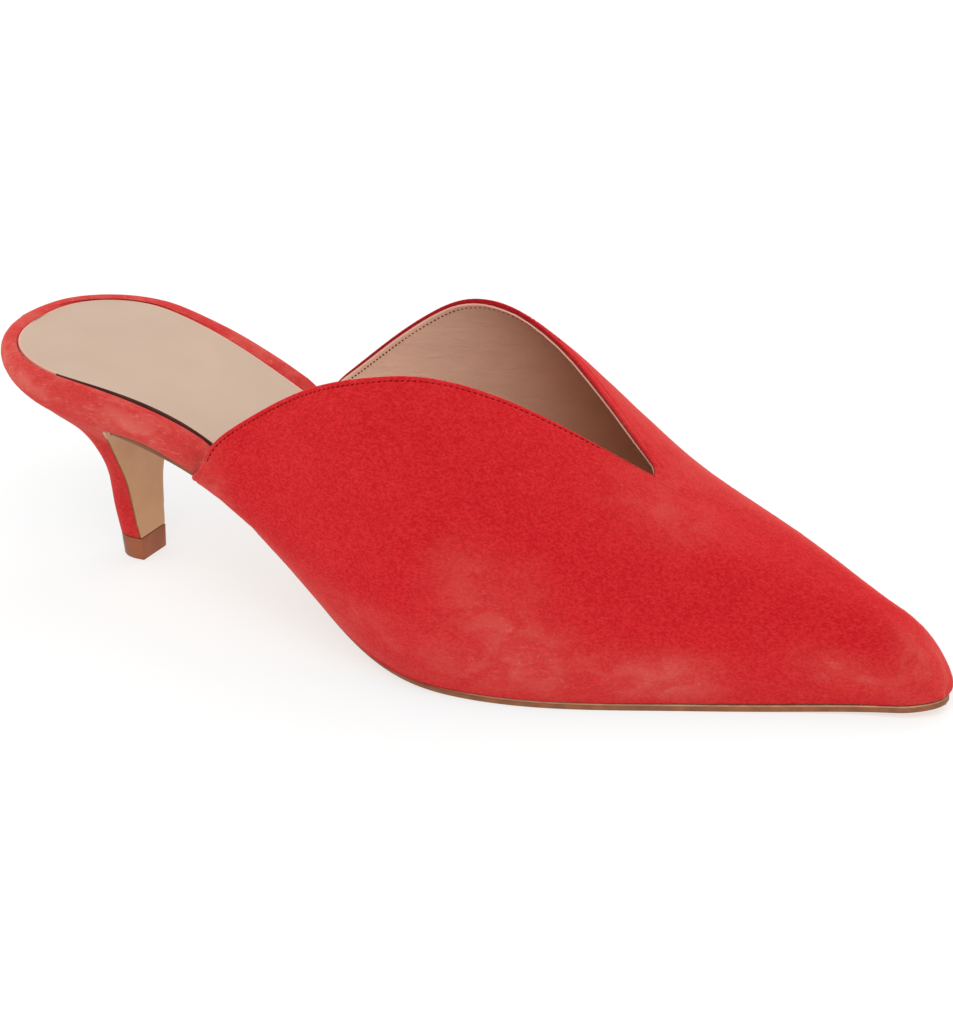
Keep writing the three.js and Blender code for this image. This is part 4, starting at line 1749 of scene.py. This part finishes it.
@dataclass
class Heel:
    """The covered heel block, the leather over its breast and its top piece."""

    form: HeelForm
    build: Builder
    finishes: Finishes
    around: int = 96
    levels: int = 56
    reach_up: float = 0.02
    cover_shows: float = 0.6 * MM
    cover_inset: float = 0.12 * MM
    bend: float = 3.2 * MM
    breast_share: float = 0.16
    side_share: float = 0.72
    core: float = 32 * MM
    wave: Wave = (0.05 * MM, 1.4 * MM)
    cover_crease: float = 0.18 * MM
    crease_height: float = 4.5 * MM
    crease_width: float = 0.7 * MM
    cover_height: float = 45 * MM
    rim_round: float = 0.25 * MM

    def contour(
        self, share: Array, up: Array, front_set: float, trim: float
    ) -> tuple[Array, Array]:
        """Points round the section, from the middle of the breast by the outer side and back.

        Args:
            share: Shares of the walk round.
            up: Shares of the block's height.
            front_set: How far the front lies behind the breast, in metres.
            trim: How far the back and the sides are taken in, in metres.

        Returns:
            Places along and across the sole, in metres.
        """
        back, front, half, middle = self.form.section(up, trim)
        front = front - front_set
        side = np.where(share <= 0.5, -1, 1)
        way = 1 - np.abs(2 * share - 1)
        corner = self.breast_share
        across = np.clip(way / corner, 0, 1)
        along = 1 - np.clip((way - corner) / (1 - corner), 0, 1)
        straight = self.form.roundness
        bend = np.clip(along / self.side_share, 0, 1)
        onward = (along - self.side_share) / (1 - self.side_share)
        depth = np.where(
            onward > 0,
            straight + (1 - straight) * onward,
            straight * (1 - np.cos(np.pi / 2 * bend)),
        )
        inward = 1 - np.minimum(depth / straight, 1)
        y = middle + side * half * np.sqrt(1 - inward**2) * across
        return back + (front - back) * depth, y

    def block(self, ups: Array, front_set: float) -> bmesh.types.BMesh:
        """Closed stack of the heel's sections.

        Args:
            ups: Levels of the sections, as shares of the block's height.
            front_set: How far the front lies behind the breast, in metres.

        Returns:
            The block, with its faces outward.
        """
        rows = np.concatenate([[ups[0]], ups, [ups[-1]]])
        folded = np.zeros(len(rows))
        folded[[0, -1]] = 1

        def place(first: Array, second: Array) -> Array:
            """Points of the block, whose end rows close on the middle line.

            Args:
                first: First shares.
                second: Second shares.

            Returns:
                One point in each row, in the last's frame.
            """
            k = np.rint(second * (len(rows) - 1)).astype(int)
            up = rows[k]
            x, y = self.contour(first, up, front_set, 0.0)
            middle = self.form.tip_shift * (1 - up)
            y = middle + (y - middle) * (1 - folded[k])
            spots = np.stack([x, y, self.form.height(up, x)], axis=1)
            facing = unit(np.stack([x - self.core, 2 * y, np.zeros_like(x)], axis=1))
            return ruffle(spots, facing, self.wave)

        mesh = self.build.grid(self.around, len(rows) - 1, place)
        turn_outward(mesh)
        return mesh

    def make_block(self) -> None:
        """The heel block in its suede cover."""
        ups = np.append(np.sin(np.pi / 2 * np.linspace(0, 1, self.levels + 1)), 1 + self.reach_up)
        mesh = self.block(ups, self.cover_shows)
        materials = [self.finishes.suede]
        piece = self.build.finish("heel_suede", mesh, materials, Slot.SUEDE, ["heel"], 50)
        heights = self.build.spots(piece)[:, 2]
        write_brush(piece, 0.15 + 0.3 * smooth(heights, 25 * MM, 44 * MM))

    def make_cover(self) -> None:
        """The leather over the breast, with painted edges and a faint crease near its foot."""
        ups = np.sin(np.pi / 2 * np.linspace(0, 1, self.levels + 1))
        form = self.form
        # Half of the leather's section: shares of its width sideways and of its thickness forward.
        profile = ((-1, 0), (-1, 0.9), (-0.97, 1.0), (-0.8, 1.0), (-0.4, 1.0), (0, 1.0))
        profile += tuple((-y, x) for y, x in reversed(profile[:-1]))

        def place(first: Array, second: Array) -> Array:
            """Points of the leather, bent forward under the sole at its top.

            Args:
                first: First shares.
                second: Second shares.

            Returns:
                One point in each row, in the last's frame.
            """
            up = ups[np.rint(second * (len(ups) - 1)).astype(int)]
            stop = np.rint(first * len(profile)).astype(int) % len(profile)
            sideways, forward = np.array(profile)[stop].T
            _, front, half, middle = form.section(up, 0.0)
            x = front - form.cover * (1 - forward)
            y = middle + sideways * (half - self.cover_inset)
            high = up * self.cover_height
            crease = self.cover_crease * hill(high, self.crease_height, self.crease_width)
            below = form.height(np.ones_like(up), x) - form.last.outsole - form.height(up, x)
            near = np.clip(1 - np.maximum(below, 0) / self.bend, 0, 1)
            bend = self.bend * (1 - np.sqrt(1 - near * near))
            return np.stack([x + (bend - crease) * (forward > 0), y, form.height(up, x)], axis=1)

        mesh = self.build.grid(len(profile), len(ups) - 1, place)
        edges = [edge for edge in mesh.edges if edge.is_boundary]
        bmesh.ops.holes_fill(mesh, edges=edges, sides=0)
        turn_outward(mesh)
        for face in mesh.faces:
            face.material_index = 1 if abs(face.normal.y) > 0.75 else 0
        materials = [self.finishes.tan, self.finishes.paint]
        self.build.finish("breast_leather", mesh, materials, Slot.SOLE, ["breast_cover"], 40)

    def make_top_piece(self) -> None:
        """The top piece: moulded, a little smaller at the floor, with softened rims."""
        form = self.form
        soft = self.rim_round
        # Each ring's height, how far it is taken in, and 1 where it closes on the middle line.
        rings = (
            (0.0, form.taper + soft, 1.0),
            (0.0, form.taper + soft, 0.0),
            (0.3 * soft, form.taper + 0.3 * soft, 0.0),
            (soft, form.taper, 0.0),
            (form.top_piece * 0.5, form.taper * 0.5, 0.0),
            (form.top_piece - soft, 0.0, 0.0),
            (form.top_piece - 0.3 * soft, 0.2 * soft, 0.0),
            (form.top_piece, 0.7 * soft, 0.0),
            (form.top_piece, 0.7 * soft, 1.0),
        )

        def place(first: Array, second: Array) -> Array:
            """Points of the top piece.

            Args:
                first: First shares.
                second: Second shares.

            Returns:
                One point in each row, in the last's frame.
            """
            k = np.rint(second * (len(rings) - 1)).astype(int)
            spots = np.zeros((len(first), 3))
            for ring, (height, trim, folded) in enumerate(rings):
                here = k == ring
                x, y = self.contour(first[here], np.zeros(here.sum()), trim * 0.5, trim)
                y = form.tip_shift + (y - form.tip_shift) * (1 - folded)
                spots[here] = np.stack([x, y, np.full_like(x, height)], axis=1)
            return spots

        mesh = self.build.grid(self.around, len(rings) - 1, place)
        turn_outward(mesh)
        materials = [self.finishes.resin]
        self.build.finish("top_piece_resin", mesh, materials, Slot.TOP_PIECE, ["top_piece"], 50)

    def make(self) -> None:
        """Makes the heel's pieces."""
        self.make_block()
        self.make_cover()
        self.make_top_piece()


@dataclass(frozen=True)
class Lamp:
    """Square soft light that faces the shoe, with its width in metres and its power in watts."""

    name: str
    spot: Triple
    size: float
    power: float


@dataclass(frozen=True)
class Studio:
    """Plain white floor, soft light and the camera at the photograph's angle."""

    shift: Array
    azimuth: float = 33.392
    elevation: float = 24.107
    roll: float = -4.11
    distance: float = 1302.684 * MM
    aim: Triple = (131.72 * MM, 0.0, 28.476 * MM)
    focal_pixels: float = 5392.945
    long_side: float = 1024
    sensor: float = 36.0
    nearest: float = 0.05
    floor_half: float = 4.0
    floor_colour: Colour = (0.4, 0.39, 0.38)
    floor_glow: Colour = (0.98, 0.99, 1.0)
    floor_glow_strength: float = 0.62
    world_strength: float = 0.77
    lamps: tuple[Lamp, ...] = (
        Lamp("key", (0.65, -0.9, 1.3), 1.2, 12.5),
        Lamp("back", (0.2, 1.2, 1.3), 1.4, 4),
    )

    @property
    def target(self) -> Vector:
        """Point that the camera and the lights look at, in the shoe's frame."""
        return Vector(self.aim) + Vector(self.shift)

    def make_camera(self) -> None:
        """The camera, rolled as the photograph is."""
        turn = math.radians(self.azimuth)
        rise = math.radians(self.elevation)
        roll = math.radians(self.roll)
        level = math.cos(rise)
        back = Vector((math.sin(turn) * level, -math.cos(turn) * level, math.sin(rise)))
        right = Vector((math.cos(turn), math.sin(turn), 0))
        up = back.cross(right)
        rolled_right = math.cos(roll) * right + math.sin(roll) * up
        rolled_up = math.cos(roll) * up - math.sin(roll) * right
        matrix = Matrix((rolled_right, rolled_up, back)).transposed().to_4x4()
        matrix.translation = self.target + back * self.distance
        data = bpy.data.cameras.new("camera")
        data.sensor_width = self.sensor
        data.lens = self.focal_pixels / self.long_side * self.sensor
        data.clip_start = self.nearest
        camera = bpy.data.objects.new("camera", data)
        camera.matrix_world = matrix
        bpy.context.scene.collection.objects.link(camera)
        bpy.context.scene.camera = camera

    def make_floor(self) -> None:
        """The floor, which glows a little so that it stays near white."""
        mesh = bmesh.new()
        bmesh.ops.create_grid(mesh, x_segments=1, y_segments=1, size=self.floor_half)
        data = bpy.data.meshes.new("floor")
        mesh.to_mesh(data)
        mesh.free()
        nodes = Nodes("floor")
        nodes.set(base_color=self.floor_colour, roughness=0.9, specular_ior_level=0.1,
                  emission_color=self.floor_glow, emission_strength=self.floor_glow_strength)
        data.materials.append(nodes.material)
        floor = bpy.data.objects.new("floor", data)
        bpy.context.scene.collection.objects.link(floor)
        floor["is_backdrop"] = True

    def make_light(self, lamp: Lamp) -> None:
        """Hangs one lamp and turns it to the shoe.

        Args:
            lamp: The lamp.
        """
        data = bpy.data.lights.new(lamp.name, "AREA")
        data.size = lamp.size
        data.energy = lamp.power
        light = bpy.data.objects.new(lamp.name, data)
        light.location = lamp.spot
        light.rotation_euler = (self.target - light.location).to_track_quat("-Z", "Y").to_euler()
        bpy.context.scene.collection.objects.link(light)

    def make(self) -> None:
        """Makes floor, world, lights and camera."""
        self.make_camera()
        self.make_floor()
        world = bpy.data.worlds.new("studio")
        world.use_nodes = True
        background = world.node_tree.nodes["Background"]
        background.inputs["Color"].default_value = (1, 1, 1, 1)
        background.inputs["Strength"].default_value = self.world_strength
        bpy.context.scene.world = world
        bpy.context.scene.view_settings.view_transform = "Standard"
        for lamp in self.lamps:
            self.make_light(lamp)


def main() -> None:
    """Builds the shoe's pieces and the studio in order."""
    logging.basicConfig(level=logging.INFO, format="%(name)s %(message)s")
    last = Last()
    form = HeelForm(last)
    build = Builder(form.shift())
    finishes = Finishes()
    Studio(form.shift()).make()
    Upper(last, build, finishes).make()
    Underfoot(last, build, finishes).make()
    Heel(form, build, finishes).make()
    boxes = {"cad": CAD_BOX, "visual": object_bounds()}
    {name: [list(corner) for corner in box] for name, box in boxes.items()}


if __name__ == "__main__":
    main()
